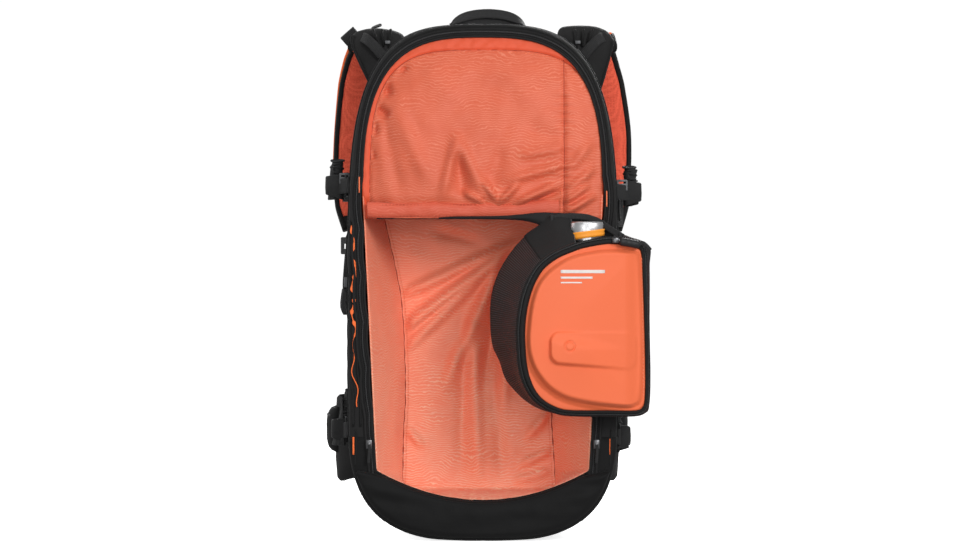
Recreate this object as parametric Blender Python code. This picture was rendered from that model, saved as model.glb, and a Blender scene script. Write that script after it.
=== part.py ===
"""Avalanche airbag backpack with its main zip open and its inflator pod pulled out of the front.

Blender 4.5, metres, +Z up. The zipped front faces -Y and the harness faces +Y.
The origin is the middle of the flat patch that the pack stands on.
"""

import math

import bmesh
import bpy
from mathutils import Matrix, Vector

# Pack body, seen from the front.
HALF_WIDTH = 0.152
TOP = 0.587
ARCH_START = 0.300
ARCH_POWER = 3.4
BASE_START = 0.150
BASE_POWER = 3.0
FOOT_HALF_WIDTH = 0.055
# Pack body, seen from the side.
FRONT = -0.095
TOP_SET_BACK = 0.035
BACK = 0.085
BACK_TOP = 0.568
WALL = 0.004
LIP = 0.005
BOOT_TOP = 0.118
# Main opening: a smile at the bottom, straight sides that lean out, and an arch.
OPENING_FOOT = (0.121, 0.080)
OPENING_SIDE = (0.136, 0.385)
OPENING_TOP = 0.572
SMILE_LOW = 0.046
OPENING_POWER = 3.0
RIM_INSET = 0.003
ZIP_GAP = 0.0008
ZIP_THICK = 0.0025
# Lining and airbag pouch.
LINING_BACK = 0.045
LINING_BACK_SCALE = 0.70
LINING_WALL = 0.002
HEM_LOW = 0.366
HEM_HIGH = 0.3818
# Inflator pod.
POD_BACK = -0.112
POD_PANEL = 0.003
POD_EDGE_X = 0.184
GUSSET_WALL = 0.003
POD_ZIP_PLANE = -0.128
POD_TILT = math.radians(18)
POD_HANG = (0.0, -0.1005, 0.374)
LID_HINGE = (0.1905, -0.1262, 0.240)
FAN_CENTRE = (0.092, 0.258)
FAN_RADIUS = 0.044
BUTTON_PLACE = (0.158, 0.290)
# Harness.
STRAP_THICK = 0.012
WING_PIVOT = (0.098, 0.0975)
STERNUM_HEIGHT = 0.400
TRIGGER_X = -0.153
GAP = 0.0003
SIDES = {"left": -1, "right": 1}
UPPER_STRAP_HEIGHT = {"left": 0.403, "right": 0.374}
LOWER_STRAP_HEIGHT = {"left": 0.128, "right": 0.120}
WING_REACH = {"left": 0.177, "right": 0.163}
HIP_BUCKLE_INSET = 0.034

COLOURS = {
    "black_fabric": ((0.030, 0.030, 0.032), 0.75, 0.0),
    "black_webbing": ((0.045, 0.045, 0.047), 0.65, 0.0),
    "black_plastic": ((0.020, 0.020, 0.022), 0.40, 0.0),
    "orange_fabric": ((0.760, 0.185, 0.095), 0.50, 0.0),
    "orange_foam_shell": ((0.900, 0.200, 0.080), 0.55, 0.0),
    "red_mesh": ((0.420, 0.055, 0.035), 0.80, 0.0),
    "aluminium": ((0.760, 0.760, 0.770), 0.30, 1.0),
    "grey_plastic": ((0.180, 0.180, 0.190), 0.45, 0.0),
    "blue_sleeve": ((0.060, 0.120, 0.300), 0.35, 0.0),
}


# ---------------------------------------------------------------- helpers


def clear_scene():
    for obj in list(bpy.data.objects):
        bpy.data.objects.remove(obj)


def material(name):
    found = bpy.data.materials.get(name)
    if found:
        return found
    colour, roughness, metallic = COLOURS[name]
    made = bpy.data.materials.new(name)
    made.use_nodes = True
    shader = made.node_tree.nodes["Principled BSDF"]
    shader.inputs["Base Color"].default_value = (*colour, 1.0)
    shader.inputs["Roughness"].default_value = roughness
    shader.inputs["Metallic"].default_value = metallic
    return made


def add_object(name, bm, slot):
    bmesh.ops.recalc_face_normals(bm, faces=bm.faces)
    mesh = bpy.data.meshes.new(name)
    bm.to_mesh(mesh)
    bm.free()
    mesh.materials.append(material(slot))
    obj = bpy.data.objects.new(name, mesh)
    bpy.context.scene.collection.objects.link(obj)
    return obj


def loft(name, rings, slot, closed=False):
    """A solid through rings of equally many points. closed joins the last ring to the first."""
    bm = bmesh.new()
    rows = [[bm.verts.new(point) for point in ring] for ring in rings]
    pairs = list(zip(rows, rows[1:] + rows[:1])) if closed else list(zip(rows, rows[1:]))
    for near, far in pairs:
        for i in range(len(near)):
            j = (i + 1) % len(near)
            bm.faces.new((near[i], near[j], far[j], far[i]))
    if not closed:
        bm.faces.new(rows[0])
        bm.faces.new(rows[-1])
    return add_object(name, bm, slot)


def box(name, low, high, slot, bevel=0.0):
    bm = bmesh.new()
    bmesh.ops.create_cube(bm, size=1.0)
    low, high = Vector(low), Vector(high)
    size = high - low
    bmesh.ops.scale(bm, vec=size, verts=bm.verts)
    bmesh.ops.translate(bm, vec=(low + high) / 2, verts=bm.verts)
    if bevel:
        bmesh.ops.bevel(bm, geom=bm.edges[:], offset=bevel, segments=1, affect="EDGES")
    return add_object(name, bm, slot)


def cylinder(name, centre, radius, length, axis, slot, segments=16):
    bm = bmesh.new()
    bmesh.ops.create_cone(
        bm, cap_ends=True, segments=segments, radius1=radius, radius2=radius, depth=length
    )
    turn = Vector((0, 0, 1)).rotation_difference(Vector(axis)).to_matrix()
    bmesh.ops.rotate(bm, cent=(0, 0, 0), matrix=turn, verts=bm.verts)
    bmesh.ops.translate(bm, vec=centre, verts=bm.verts)
    return add_object(name, bm, slot)


def turned(name, centre, profile, axis, slot, segments=20):
    """A ring turned about axis through centre. profile is a closed list of (radius, distance along axis)."""
    axis = Vector(axis)
    side = axis.orthogonal().normalized()
    rings = []
    for i in range(segments):
        out = Matrix.Rotation(math.tau * i / segments, 3, axis) @ side
        rings.append([Vector(centre) + out * r + axis * d for r, d in profile])
    return loft(name, rings, slot, closed=True)


def strip(name, path, across, widths, thickness, slot):
    """Webbing or padding: a flat section carried along path. across is the width's direction at each point."""
    path = [Vector(p) for p in path]
    if not isinstance(across, list):
        across = [across] * len(path)
    if not isinstance(widths, list):
        widths = [widths] * len(path)
    rings = []
    for i, point in enumerate(path):
        before, after = path[max(i - 1, 0)], path[min(i + 1, len(path) - 1)]
        wide = Vector(across[i]).normalized()
        thick = (after - before).cross(wide).normalized() * thickness / 2
        wide = wide * widths[i] / 2
        rings.append([point - wide - thick, point + wide - thick, point + wide + thick, point - wide + thick])
    return loft(name, rings, slot)


def finer(rows, steps):
    """The rows with steps - 1 evenly spaced ones added between each pair."""
    made = []
    for a, b in zip(rows, rows[1:]):
        made += [tuple(u + (v - u) * k / steps for u, v in zip(a, b)) for k in range(steps)]
    return made + [rows[-1]]


def extruded(name, outline, low, high, plane, slot):
    """A flat outline given thickness. plane says which axes the outline's two numbers lie along."""
    def place(point, depth):
        a, b = point
        return {"XZ": (a, depth, b), "YZ": (depth, a, b), "XY": (a, b, depth)}[plane]

    return loft(name, [[place(p, low) for p in outline], [place(p, high) for p in outline]], slot)


def boolean(obj, operation, *others):
    """Cuts, joins or trims obj by others, which then aren't part of the model themselves."""
    for other in others:
        modifier = obj.modifiers.new(operation.title(), "BOOLEAN")
        modifier.operation = operation
        modifier.object = other
        other.hide_render = True
        other.display_type = "WIRE"
    return obj


def pivot_on(point, *objects):
    """Moves each object's origin to its joint's axis and leaves its shape where it is."""
    for obj in objects:
        obj.data.transform(Matrix.Translation(-Vector(point)))
        obj.location = point


# ---------------------------------------------------------------- outlines


def quarter(half_width, height, power, degrees):
    """A point of a quarter superellipse, from its side at 0 degrees to its top at 90."""
    angle = math.radians(degrees)
    share = 2 / power
    return half_width * max(math.cos(angle), 0) ** share, height * math.sin(angle) ** share


def mirrored(half):
    """A whole outline from its right half, which runs from the bottom centre to the top centre."""
    return half + [(-x, z) for x, z in reversed(half[1:-1])]


def body_outline(half_width=HALF_WIDTH, top=TOP, power=ARCH_POWER):
    half = [(0, 0), (FOOT_HALF_WIDTH, 0)]
    for degrees in (60, 45, 30, 15):
        x, z = quarter(half_width, BASE_START, BASE_POWER, degrees)
        half.append((x, BASE_START - z))
    half += [(half_width, BASE_START), (half_width, ARCH_START)]
    for degrees in (10, 20, 30, 45, 60, 75, 90):
        x, z = quarter(half_width, top - ARCH_START, power, degrees)
        half.append((x, ARCH_START + z))
    return mirrored(half)


def opening_x(z):
    """Half the main opening's width at a height on its straight sides."""
    (low_x, low_z), (high_x, high_z) = OPENING_FOOT, OPENING_SIDE
    return low_x + (z - low_z) * (high_x - low_x) / (high_z - low_z)


def smile_z(x):
    foot_x, foot_z = OPENING_FOOT
    return SMILE_LOW + (foot_z - SMILE_LOW) * (x / foot_x) ** 2


def opening_half():
    half = [(x, smile_z(x)) for x in (0, 0.045, 0.080, 0.100, 0.113, OPENING_FOOT[0])]
    half += [(opening_x(z), z) for z in (BASE_START, ARCH_START)]
    side_x, side_z = OPENING_SIDE
    for degrees in (10, 20, 30, 45, 60, 75, 90):
        x, z = quarter(side_x, OPENING_TOP - side_z, OPENING_POWER, degrees)
        half.append((x, side_z + z))
    return half


def inset(outline, distance):
    """The outline moved inwards, whichever way round it runs."""
    area = sum(a[0] * b[1] - b[0] * a[1] for a, b in zip(outline, outline[1:] + outline[:1]))
    distance = math.copysign(distance, distance * area)
    moved = []
    for i, point in enumerate(outline):
        here = Vector(point)
        before, after = Vector(outline[i - 1]), Vector(outline[(i + 1) % len(outline)])
        first, second = (here - before).normalized(), (after - here).normalized()
        inward = Vector((-first.y - second.y, first.x + second.x)).normalized()
        lean = max(inward.dot(Vector((-first.y, first.x))), 0.5)
        moved.append(tuple(here + inward * distance / lean))
    return moved


def front_y(z):
    """The front face leans back above the arch's start."""
    return FRONT + TOP_SET_BACK * max(0.0, (z - ARCH_START) / (TOP - ARCH_START)) ** 2


def on_front(outline, depth):
    return [(x, front_y(z) + depth, z) for x, z in outline]


def at_depth(outline, y):
    return [(x, y, z) for x, z in outline]


# ---------------------------------------------------------------- pack body


def make_body():
    """The outer fabric, cut at the reinforced boot round its foot."""
    side = body_outline()
    back = body_outline(HALF_WIDTH - 0.004, BACK_TOP, 4.5)
    opening = mirrored(opening_half())
    rings = [
        on_front(opening, 0),
        on_front(inset(side, RIM_INSET), 0),
        on_front(side, 0.022),
        at_depth(back, BACK - 0.010),
        at_depth(inset(back, 0.010), BACK),
    ]
    inner = [
        at_depth(inset(back, 0.010 + WALL), BACK - WALL),
        at_depth(inset(back, WALL), BACK - 0.011),
        on_front(inset(side, WALL), 0.020),
        on_front(inset(side, RIM_INSET + 0.004), LIP),
        on_front(opening, LIP),
    ]
    for name, operation in (("body_shell", "DIFFERENCE"), ("base_boot", "INTERSECT")):
        bm = bmesh.new()
        rows = [[bm.verts.new(p) for p in ring] for ring in rings + inner]
        seam = len(rings) - 1
        for k, row in enumerate(rows):
            if k == seam:
                continue
            after = rows[(k + 1) % len(rows)]
            for i in range(len(row)):
                j = (i + 1) % len(row)
                bm.faces.new((row[i], row[j], after[j], after[i]))
        bm.faces.new(rows[seam])
        bm.faces.new(rows[seam + 1])
        piece = add_object(name, bm, "black_fabric")
        top = BOOT_TOP if operation == "INTERSECT" else BOOT_TOP + GAP
        cutter = box(f"{name}_cutter", (-0.3, -0.3, -0.1), (0.3, 0.3, top), "black_fabric")
        boolean(piece, operation, cutter)


def make_lining():
    """The orange tub inside the opening. It narrows towards the back, as loose lining does."""
    opening = mirrored(opening_half())

    def narrowed(outline, scale):
        middle = 0.300
        return [(x * scale, middle + (z - middle) * (0.5 + scale / 2 + 0.06)) for x, z in outline]

    outer = inset(opening, 0.0008)
    inner = inset(opening, 0.0008 + LINING_WALL)
    rings = [
        on_front(outer, 0.0005),
        at_depth(narrowed(outer, 0.90), -0.040),
        at_depth(narrowed(outer, LINING_BACK_SCALE), LINING_BACK),
        at_depth(narrowed(inner, LINING_BACK_SCALE), LINING_BACK - LINING_WALL),
        at_depth(narrowed(inner, 0.90), -0.040),
        on_front(inner, 0.0005),
    ]
    bm = bmesh.new()
    rows = [[bm.verts.new(p) for p in ring] for ring in rings]
    for k, row in enumerate(rows):
        if k == 2:
            continue
        after = rows[(k + 1) % len(rows)]
        for i in range(len(row)):
            j = (i + 1) % len(row)
            bm.faces.new((row[i], row[j], after[j], after[i]))
    bm.faces.new(rows[2])
    bm.faces.new(rows[3])
    add_object("main_lining", bm, "orange_fabric")


def pouch_outline(low):
    """The upper part of the opening, above the hem."""
    half = [(0.0, low), (opening_x(low), low)] + opening_half()[8:]
    return mirrored(half)


def make_pouch():
    """The pouch in the upper opening and the airbag folded in it."""
    outline = pouch_outline(HEM_HIGH + GAP)
    loft(
        "pouch_panel",
        [
            on_front(inset(outline, 0.020), -0.010),
            on_front(inset(outline, 0.0045), -0.001),
            on_front(inset(outline, 0.010), 0.012),
        ],
        "orange_fabric",
    )
    loft(
        "folded_airbag",
        [
            on_front(inset(outline, 0.014), 0.0125),
            at_depth(inset(outline, 0.045), 0.015),
        ],
        "orange_fabric",
    )
    edge = opening_x(HEM_LOW) - 0.0065
    box(
        "pouch_hem",
        (-edge, front_y(HEM_HIGH) - 0.002, HEM_LOW),
        (edge, front_y(HEM_HIGH) + 0.004, HEM_HIGH),
        "orange_fabric",
    )


def make_zip():
    """The tape that rims the opening, and a slider with its pull parked at each end."""
    opening = on_front(mirrored(opening_half()), -ZIP_GAP)
    rim = on_front(inset(body_outline(), RIM_INSET), -ZIP_GAP)
    count = len(opening)
    rings = []
    for k in range(5, count - 4):
        near, far = Vector(opening[k % count]), Vector(rim[k % count])
        front = Vector((0, -ZIP_THICK, 0))
        far = near.lerp(far, 0.96)
        rings.append([near, far, far + front, near + front])
    loft("main_zip_tape", rings, "black_fabric")
    for side, sign in SIDES.items():
        height = 0.108
        x = opening_x(height) + 0.006
        back = FRONT - ZIP_GAP - ZIP_THICK - 0.0006
        profile = [
            (back, height + 0.007),
            (back, height - 0.007),
            (back - 0.0035, height - 0.007),
            (back - 0.0035, height - 0.021),
            (back - 0.0052, height - 0.021),
            (back - 0.0052, height + 0.004),
            (back - 0.0035, height + 0.007),
        ]
        slider = extruded(f"zip_slider_{side}", profile, sign * x - 0.0042, sign * x + 0.0042, "YZ", "black_plastic")
        pivot_on((sign * x, back, height), slider)


def make_front_panel():
    """The front panel, unzipped and folded down on itself in front of the boot."""
    side = body_outline()
    low = inset(side, 0.004)
    half = [(x, smile_z(x) - 0.001) for x in (0, 0.045, 0.080, 0.100, 0.113, OPENING_FOOT[0])]
    right = [(0.1400, 0.0805), (0.1430, 0.0760)] + [low[k] for k in (4, 3, 2, 1)]
    outline = [(0, low[0][1])] + [*reversed(right)] + [*reversed(half)]
    outline += [(-x, z) for x, z in half[1:]] + [(-x, z) for x, z in right]
    front_panel = loft(
        "front_panel",
        [on_front(outline, -0.0006), on_front(outline, -0.0070), on_front(inset(outline, 0.005), -0.0130)],
        "black_fabric",
    )
    pivot_on((0, FRONT - 0.001, 0.084), front_panel)


def make_frame():
    """The stiffening sheet and the bent aluminium stay between the lining and the back."""
    box("frame_sheet", (-0.080, 0.0560, 0.070), (0.080, 0.0580, 0.530), "black_plastic")
    reach, top, corner = 0.060, 0.520, 0.030
    path = [(-reach, 0.0620, 0.080)]
    for k in range(5):
        angle = math.radians(180 - 22.5 * k)
        path.append((-reach + corner + corner * math.cos(angle), 0.0620, top - corner + corner * math.sin(angle)))
    path += [(-x, y, z) for x, y, z in reversed(path)]
    strip("frame_stay", path, _in_plane(path), 0.012, 0.0025, "aluminium")


def _in_plane(path):
    """For a strip that lies flat in an XZ plane, the direction of its width at each point."""
    across = []
    for i in range(len(path)):
        run = Vector(path[min(i + 1, len(path) - 1)]) - Vector(path[max(i - 1, 0)])
        across.append(run.cross(Vector((0, 1, 0))))
    return across


def make_haul_loop():
    """The webbing grab handle on the top edge of the back."""
    path = []
    for k in range(9):
        angle = math.pi * k / 8
        path.append((0.005 - 0.046 * math.cos(angle), 0.066, 0.5770 + 0.0305 * math.sin(angle) ** 0.7))
    strip("haul_loop", path, (0, 0.55, 0.83), 0.014, 0.003, "black_webbing")


# ---------------------------------------------------------------- harness


def make_back_pads():
    face = BACK + GAP
    for side, sign in SIDES.items():
        low, high = sorted((sign * 0.012, sign * 0.080))
        box(f"back_pad_{side}", (low, face, 0.200), (high, face + 0.018, 0.505), "black_fabric", 0.006)
    box("lumbar_pad", (-0.086, face, 0.070), (0.086, face + 0.020, 0.185), "black_fabric", 0.007)


def strap_path(sign):
    """Middle line and width of a shoulder strap, from the yoke over the shoulder to the adjuster."""
    points = [
        (0.129, 0.1290, 0.5760, 0.050),
        (0.137, 0.1480, 0.5820, 0.058),
        (0.143, 0.1690, 0.5660, 0.062),
        (0.147, 0.1840, 0.5250, 0.062),
        (0.149, 0.1880, 0.4750, 0.062),
        (0.149, 0.1860, 0.4300, 0.060),
        (0.151, 0.1780, 0.3900, 0.054),
        (0.153, 0.1670, 0.3540, 0.036),
    ]
    return [(sign * x, y, z) for x, y, z, _ in points], [w for *_, w in points]


def make_shoulder_harness():
    for side, sign in SIDES.items():
        low, high = sorted((sign * 0.092, sign * 0.163))
        box(f"strap_yoke_{side}", (low, BACK + GAP, 0.524), (high, 0.1235, 0.594), "black_fabric", 0.008)
        path, widths = strap_path(sign)
        strip(f"shoulder_strap_{side}", path, (1, 0, 0), widths, STRAP_THICK, "red_mesh")
        adjuster = box(
            f"strap_adjuster_{side}",
            (sign * 0.154 - 0.017, 0.1560, 0.326),
            (sign * 0.154 + 0.017, 0.1680, 0.3465),
            "black_plastic",
            0.001,
        )
        slot_hole = box(
            f"strap_adjuster_{side}_slot",
            (sign * 0.154 - 0.013, 0.1400, 0.3325),
            (sign * 0.154 + 0.013, 0.1800, 0.3385),
            "black_plastic",
        )
        boolean(adjuster, "DIFFERENCE", slot_hole)
        route = [
            (0.1545, 0.1540, 0.3240),
            (0.1570, 0.1300, 0.2800),
            (0.1570, 0.0900, 0.2200),
            (0.1565, 0.0600, 0.1900),
        ]
        lean = [(1, 0.0, 0.1), (0.8, 0.6, 0.0), (0.3, 0.7, -0.6), (0, 0.7, -0.7)]
        strip(
            f"strap_webbing_{side}",
            [(sign * x, y, z) for x, y, z in finer(route, 3)],
            [(sign * x, y, z) for x, y, z in finer(lean, 3)],
            0.024,
            0.002,
            "black_webbing",
        )


def make_trigger():
    """The pull handle on the left strap, and its cable, which runs up the strap into the pack."""
    outline = [
        (-0.0085, 0.000),
        (0.0085, 0.000),
        (0.0110, 0.012),
        (0.0075, 0.020),
        (0.0060, 0.046),
        (-0.0060, 0.046),
        (-0.0075, 0.020),
        (-0.0110, 0.012),
    ]
    low = 0.426
    placed = [(TRIGGER_X + x, low + z) for x, z in outline]
    handle = extruded("trigger_handle", placed, 0.1955, 0.2075, "XZ", "orange_foam_shell")
    pivot_on((TRIGGER_X, 0.2015, low), handle)
    route = [
        (TRIGGER_X, 0.1985, 0.4730),
        (TRIGGER_X, 0.1983, 0.5000),
        (-0.1520, 0.1960, 0.5220),
        (-0.1500, 0.1915, 0.5430),
        (-0.1470, 0.1840, 0.5620),
        (-0.1430, 0.1740, 0.5780),
        (-0.1380, 0.1610, 0.5890),
        (-0.1320, 0.1440, 0.5965),
        (-0.1270, 0.1270, 0.5975),
        (-0.1220, 0.1060, 0.5975),
    ]
    curve = bpy.data.curves.new("trigger_cable", "CURVE")
    curve.dimensions = "3D"
    curve.bevel_depth = 0.002
    curve.bevel_resolution = 2
    curve.use_fill_caps = True
    spline = curve.splines.new("POLY")
    spline.points.add(len(route) - 1)
    for point, place in zip(spline.points, route):
        point.co = (*place, 1)
    curve.materials.append(material("black_plastic"))
    cable = bpy.data.objects.new("trigger_cable", curve)
    bpy.context.scene.collection.objects.link(cable)


def make_sternum_strap():
    """The chest strap. Its left half carries the socket and its right half the clip."""
    y, z = 0.1975, STERNUM_HEIGHT
    for side, sign in SIDES.items():
        start, end = (0.020, 0.120) if side == "left" else (0.0285, 0.120)
        webbing = strip(
            f"sternum_strap_{side}",
            [(sign * start, y, z), (sign * end, y, z)],
            (0, 0, 1),
            0.018,
            0.002,
            "black_webbing",
        )
        middle = sign * 0.126
        slider = box(
            f"sternum_slider_{side}", (middle - 0.007, 0.1955, z - 0.013), (middle + 0.007, 0.2015, z + 0.013), "black_plastic"
        )
        boolean(webbing, "UNION", slider)
    low, high = (-0.0195, y - 0.0045, z - 0.0125), (0.0080, y + 0.0045, z + 0.0125)
    socket = box("sternum_buckle", low, high, "black_plastic")
    hollow = box("sternum_buckle_hollow", (-0.0130, y - 0.0028, z - 0.0090), (0.0200, y + 0.0028, z + 0.0090), "black_plastic")
    boolean(socket, "DIFFERENCE", hollow)
    profile = [(0.0280, -0.0125), (0.0280, 0.0125), (0.0085, 0.0125), (0.0085, 0.0080)]
    profile += [(-0.0110, 0.0080), (-0.0110, 0.0045), (0.0040, 0.0035), (0.0040, -0.0035)]
    profile += [(-0.0110, -0.0045), (-0.0110, -0.0080), (0.0085, -0.0080), (0.0085, -0.0125)]
    clip = extruded("sternum_clip", [(x, z + dz) for x, dz in profile], y - 0.0024, y + 0.0024, "XZ", "black_plastic")
    pivot_on((0.0280, y, z), clip)


def make_hip_belt():
    for side, sign in SIDES.items():
        reach = WING_REACH[side]
        middle = [
            (0.0960, 0.0975, 0.084),
            (0.1300, 0.1010, 0.096),
            (reach - 0.013, 0.1220, 0.104),
            (reach - 0.006, 0.1600, 0.098),
            (reach - 0.007, 0.2050, 0.078),
            (reach - 0.018, 0.2560, 0.044),
        ]
        path = [(sign * x, y, 0.118) for x, y, _ in middle]
        wing = strip(f"hip_wing_{side}", path, (0, 0, 1), [w for *_, w in middle], 0.012, "black_fabric")
        end_x = reach - 0.0195
        route = [
            (sign * end_x, 0.2600, 0.118),
            (sign * (end_x - 0.014), 0.2740, 0.113),
            (sign * (end_x - 0.030), 0.2800, 0.098),
            (sign * (end_x - HIP_BUCKLE_INSET), 0.2800, 0.0745),
        ]
        webbing = strip(f"hip_webbing_{side}", route, (1, 0.15, 0), 0.034, 0.002, "black_webbing")
        middle_x = sign * (end_x - HIP_BUCKLE_INSET)
        low = (middle_x - 0.022, 0.2740, 0.0200)
        high = (middle_x + 0.022, 0.2860, 0.0738)
        buckle = box(f"hip_buckle_{side}", low, high, "black_plastic", 0.001)
        if side == "left":
            for k in (-1, 1):
                notch = box(
                    f"hip_notch_{k}",
                    (middle_x + 0.0105 * k - 0.004, 0.26, 0.010),
                    (middle_x + 0.0105 * k + 0.004, 0.30, 0.048),
                    "black_plastic",
                )
                boolean(buckle, "DIFFERENCE", notch)
        else:
            hollow = box(
                "hip_socket_hollow",
                (middle_x - 0.0165, 0.2768, 0.010),
                (middle_x + 0.0165, 0.2832, 0.060),
                "black_plastic",
            )
            boolean(buckle, "DIFFERENCE", hollow)
        pivot_on((sign * WING_PIVOT[0], WING_PIVOT[1], 0.118), wing, webbing, buckle)


# ---------------------------------------------------------------- side straps


def rolled_tail(name, sign, height, rise):
    """A rolled strap tail whose inner turns stand up out of the outer one."""
    def stadium(grow, z):
        points = []
        for degrees in (0, 60, 120, 180):
            angle = math.radians(degrees)
            points.append((0.011 * math.cos(angle), 0.007 + 0.011 * math.sin(angle)))
        points += [(-x, -y) for x, y in points]
        return [(sign * (0.1675 + x * grow), -0.040 + y * grow, z) for x, y in points]

    foot, rim = height - 0.0135, height + 0.0125
    return loft(
        name,
        [stadium(1.0, foot), stadium(1.0, rim), stadium(0.80, rim + 0.002), stadium(0.55, rim + rise)],
        "black_webbing",
    )


def make_upper_straps():
    """Upper compression straps: a webbing from the front seam, its clip, and the socket on the rear seam."""
    for side, sign in SIDES.items():
        z = UPPER_STRAP_HEIGHT[side]

        def span(x0, y0, dz0, x1, y1, dz1):
            xs = sorted((sign * x0, sign * x1))
            return (xs[0], y0, z + dz0), (xs[1], y1, z + dz1)

        webbing = box(f"compression_strap_{side}", *span(0.1530, -0.068, -0.0125, 0.1575, -0.0005, 0.0125), "black_webbing")
        boolean(webbing, "UNION", rolled_tail(f"strap_roll_{side}", sign, z, 0.016))
        socket = box(f"compression_buckle_{side}", *span(0.1535, 0.0125, -0.0165, 0.1630, 0.0480, 0.0165), "black_plastic")
        rear = box(f"rear_webbing_{side}", *span(0.1545, 0.0400, -0.0125, 0.1570, 0.0740, 0.0125), "black_plastic")
        hollow = box(f"buckle_hollow_{side}", *span(0.1555, -0.010, -0.0120, 0.1610, 0.0390, 0.0120), "black_plastic")
        boolean(socket, "UNION", rear)
        boolean(socket, "DIFFERENCE", hollow)
        profile = [(0.0, -0.0165), (0.0120, -0.0165), (0.0120, -0.0110), (0.0360, -0.0110)]
        profile += [(0.0360, -0.0060), (0.0180, -0.0045), (0.0180, 0.0045), (0.0360, 0.0060)]
        profile += [(0.0360, 0.0110), (0.0120, 0.0110), (0.0120, 0.0165), (0.0, 0.0165)]
        low, high = sorted((sign * 0.1560, sign * 0.1605))
        clip = extruded(f"compression_clip_{side}", [(y, z + dz) for y, dz in profile], low, high, "YZ", "black_plastic")
        pivot_on((sign * 0.158, 0.0, z), clip)


def make_lower_straps():
    """Lower straps: plain webbing along the side with its tail rolled up at the front."""
    for side, sign in SIDES.items():
        z = LOWER_STRAP_HEIGHT[side]
        xs = sorted((sign * 0.1530, sign * 0.1575))
        webbing = box(
            f"lower_strap_{side}", (xs[0], -0.068, z - 0.0125), (xs[1], 0.070, z + 0.0125), "black_webbing"
        )
        boolean(webbing, "UNION", rolled_tail(f"lower_roll_{side}", sign, z, 0.022))


# ---------------------------------------------------------------- inflator pod


def pod_base_outline():
    """The pod's back panel, as (x, z), clockwise from the top of its straight right edge."""
    return [
        (0.1860, 0.3320),
        (0.1500, 0.3480),
        (0.1200, 0.3640),
        (0.0810, 0.3690),
        (0.0500, 0.3520),
        (0.0250, 0.3150),
        (0.0110, 0.2750),
        (0.0090, 0.2450),
        (0.0150, 0.2150),
        (0.0270, 0.1870),
        (0.0450, 0.1650),
        (0.0750, 0.1500),
        (0.1100, 0.1440),
        (0.1740, 0.1430),
        (0.1830, 0.1460),
        (0.1860, 0.1530),
    ]


def pod_lid_outline():
    """The lid in its own plane: (distance from the hinge edge, height), in the same order as the base."""
    points = [(0.0, 0.3340), (0.030, 0.3410)]
    for degrees in (0, 22.5, 45, 67.5, 90):
        turn = math.radians(degrees)
        points.append((0.058 + 0.098 * math.sin(turn) ** 0.9, 0.245 + 0.100 * math.cos(turn) ** 0.9))
    for degrees in (20, 40, 60, 80):
        turn = math.radians(degrees)
        points.append((0.075 + 0.081 * math.cos(turn) ** 0.9, 0.235 - 0.093 * math.sin(turn) ** 0.9))
    points += [(0.060, 0.1420), (0.035, 0.1420), (0.012, 0.1420), (0.003, 0.1450), (0.0, 0.1530)]
    return points


def on_lid(point, lift):
    """A point of the lid's plane, lifted outwards from the zip."""
    along, height = point
    return Vector(
        (
            POD_EDGE_X - along * math.cos(POD_TILT) + lift * math.sin(POD_TILT),
            POD_ZIP_PLANE - along * math.sin(POD_TILT) - lift * math.cos(POD_TILT),
            height,
        )
    )


def lid_ring(distance, lift):
    """The lid's outline moved inwards by distance and lifted."""
    outline = pod_lid_outline()
    return [on_lid(p, lift) for p in inset(outline, distance)]


def make_pod_case():
    base = pod_base_outline()
    panel_front = POD_BACK - POD_PANEL
    back_panel = extruded("pod_back_panel", base, POD_BACK, panel_front, "XZ", "black_fabric")

    near = at_depth(base, panel_front - GAP)
    near_inner = at_depth(inset(base, GUSSET_WALL), panel_front - GAP)
    far = lid_ring(0.0, -0.0030)
    far_inner = lid_ring(GUSSET_WALL, -0.0030)
    rings = []
    for k in [*range(3, 16), 0]:
        outside = finer([near[k], tuple(far[k])], 3)
        inside = finer([tuple(far_inner[k]), near_inner[k]], 3)
        rings.append(outside + inside)
    gusset = loft("pod_gusset", rings, "black_fabric")

    path = []
    for k in range(9):
        share = k / 8
        x = 0.079 + 0.070 * share
        z = 0.3755 + 0.0065 * math.sin(math.pi * min(share * 1.6, 1)) - 0.0225 * max(share - 0.40, 0) ** 2 / 0.36
        path.append((x, -0.1185, z))
    handle = strip("pod_handle", path, _in_plane(path), 0.0075, 0.0025, "black_webbing")
    return [back_panel, gusset, handle]


def make_pod_lid():
    rings = [
        lid_ring(0.0110, 0.0003),
        lid_ring(0.0004, 0.0003),
        lid_ring(0.0004, 0.0030),
        lid_ring(0.0100, 0.0040),
        lid_ring(0.0150, 0.0110),
    ]
    inner = [lid_ring(0.0180, 0.0085), lid_ring(0.0130, 0.0020)]
    bm = bmesh.new()
    rows = [[bm.verts.new(p) for p in ring] for ring in rings + inner]
    seam = len(rings) - 1
    for k, row in enumerate(rows):
        if k == seam:
            continue
        after = rows[(k + 1) % len(rows)]
        for i in range(len(row)):
            j = (i + 1) % len(row)
            bm.faces.new((row[i], row[j], after[j], after[i]))
    bm.faces.new(rows[seam])
    bm.faces.new(rows[seam + 1])
    lid = add_object("pod_lid", bm, "orange_foam_shell")

    rings = []
    outline = pod_lid_outline()
    inner, outer = outline, inset(outline, -0.0055)
    for near, far in zip(inner, outer):
        rings.append([on_lid(near, -0.0015), on_lid(far, -0.0015), on_lid(far, 0.0040), on_lid(near, 0.0040)])
    binding = loft("pod_lid_binding", rings, "black_fabric", closed=True)
    return [lid, binding]


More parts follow.
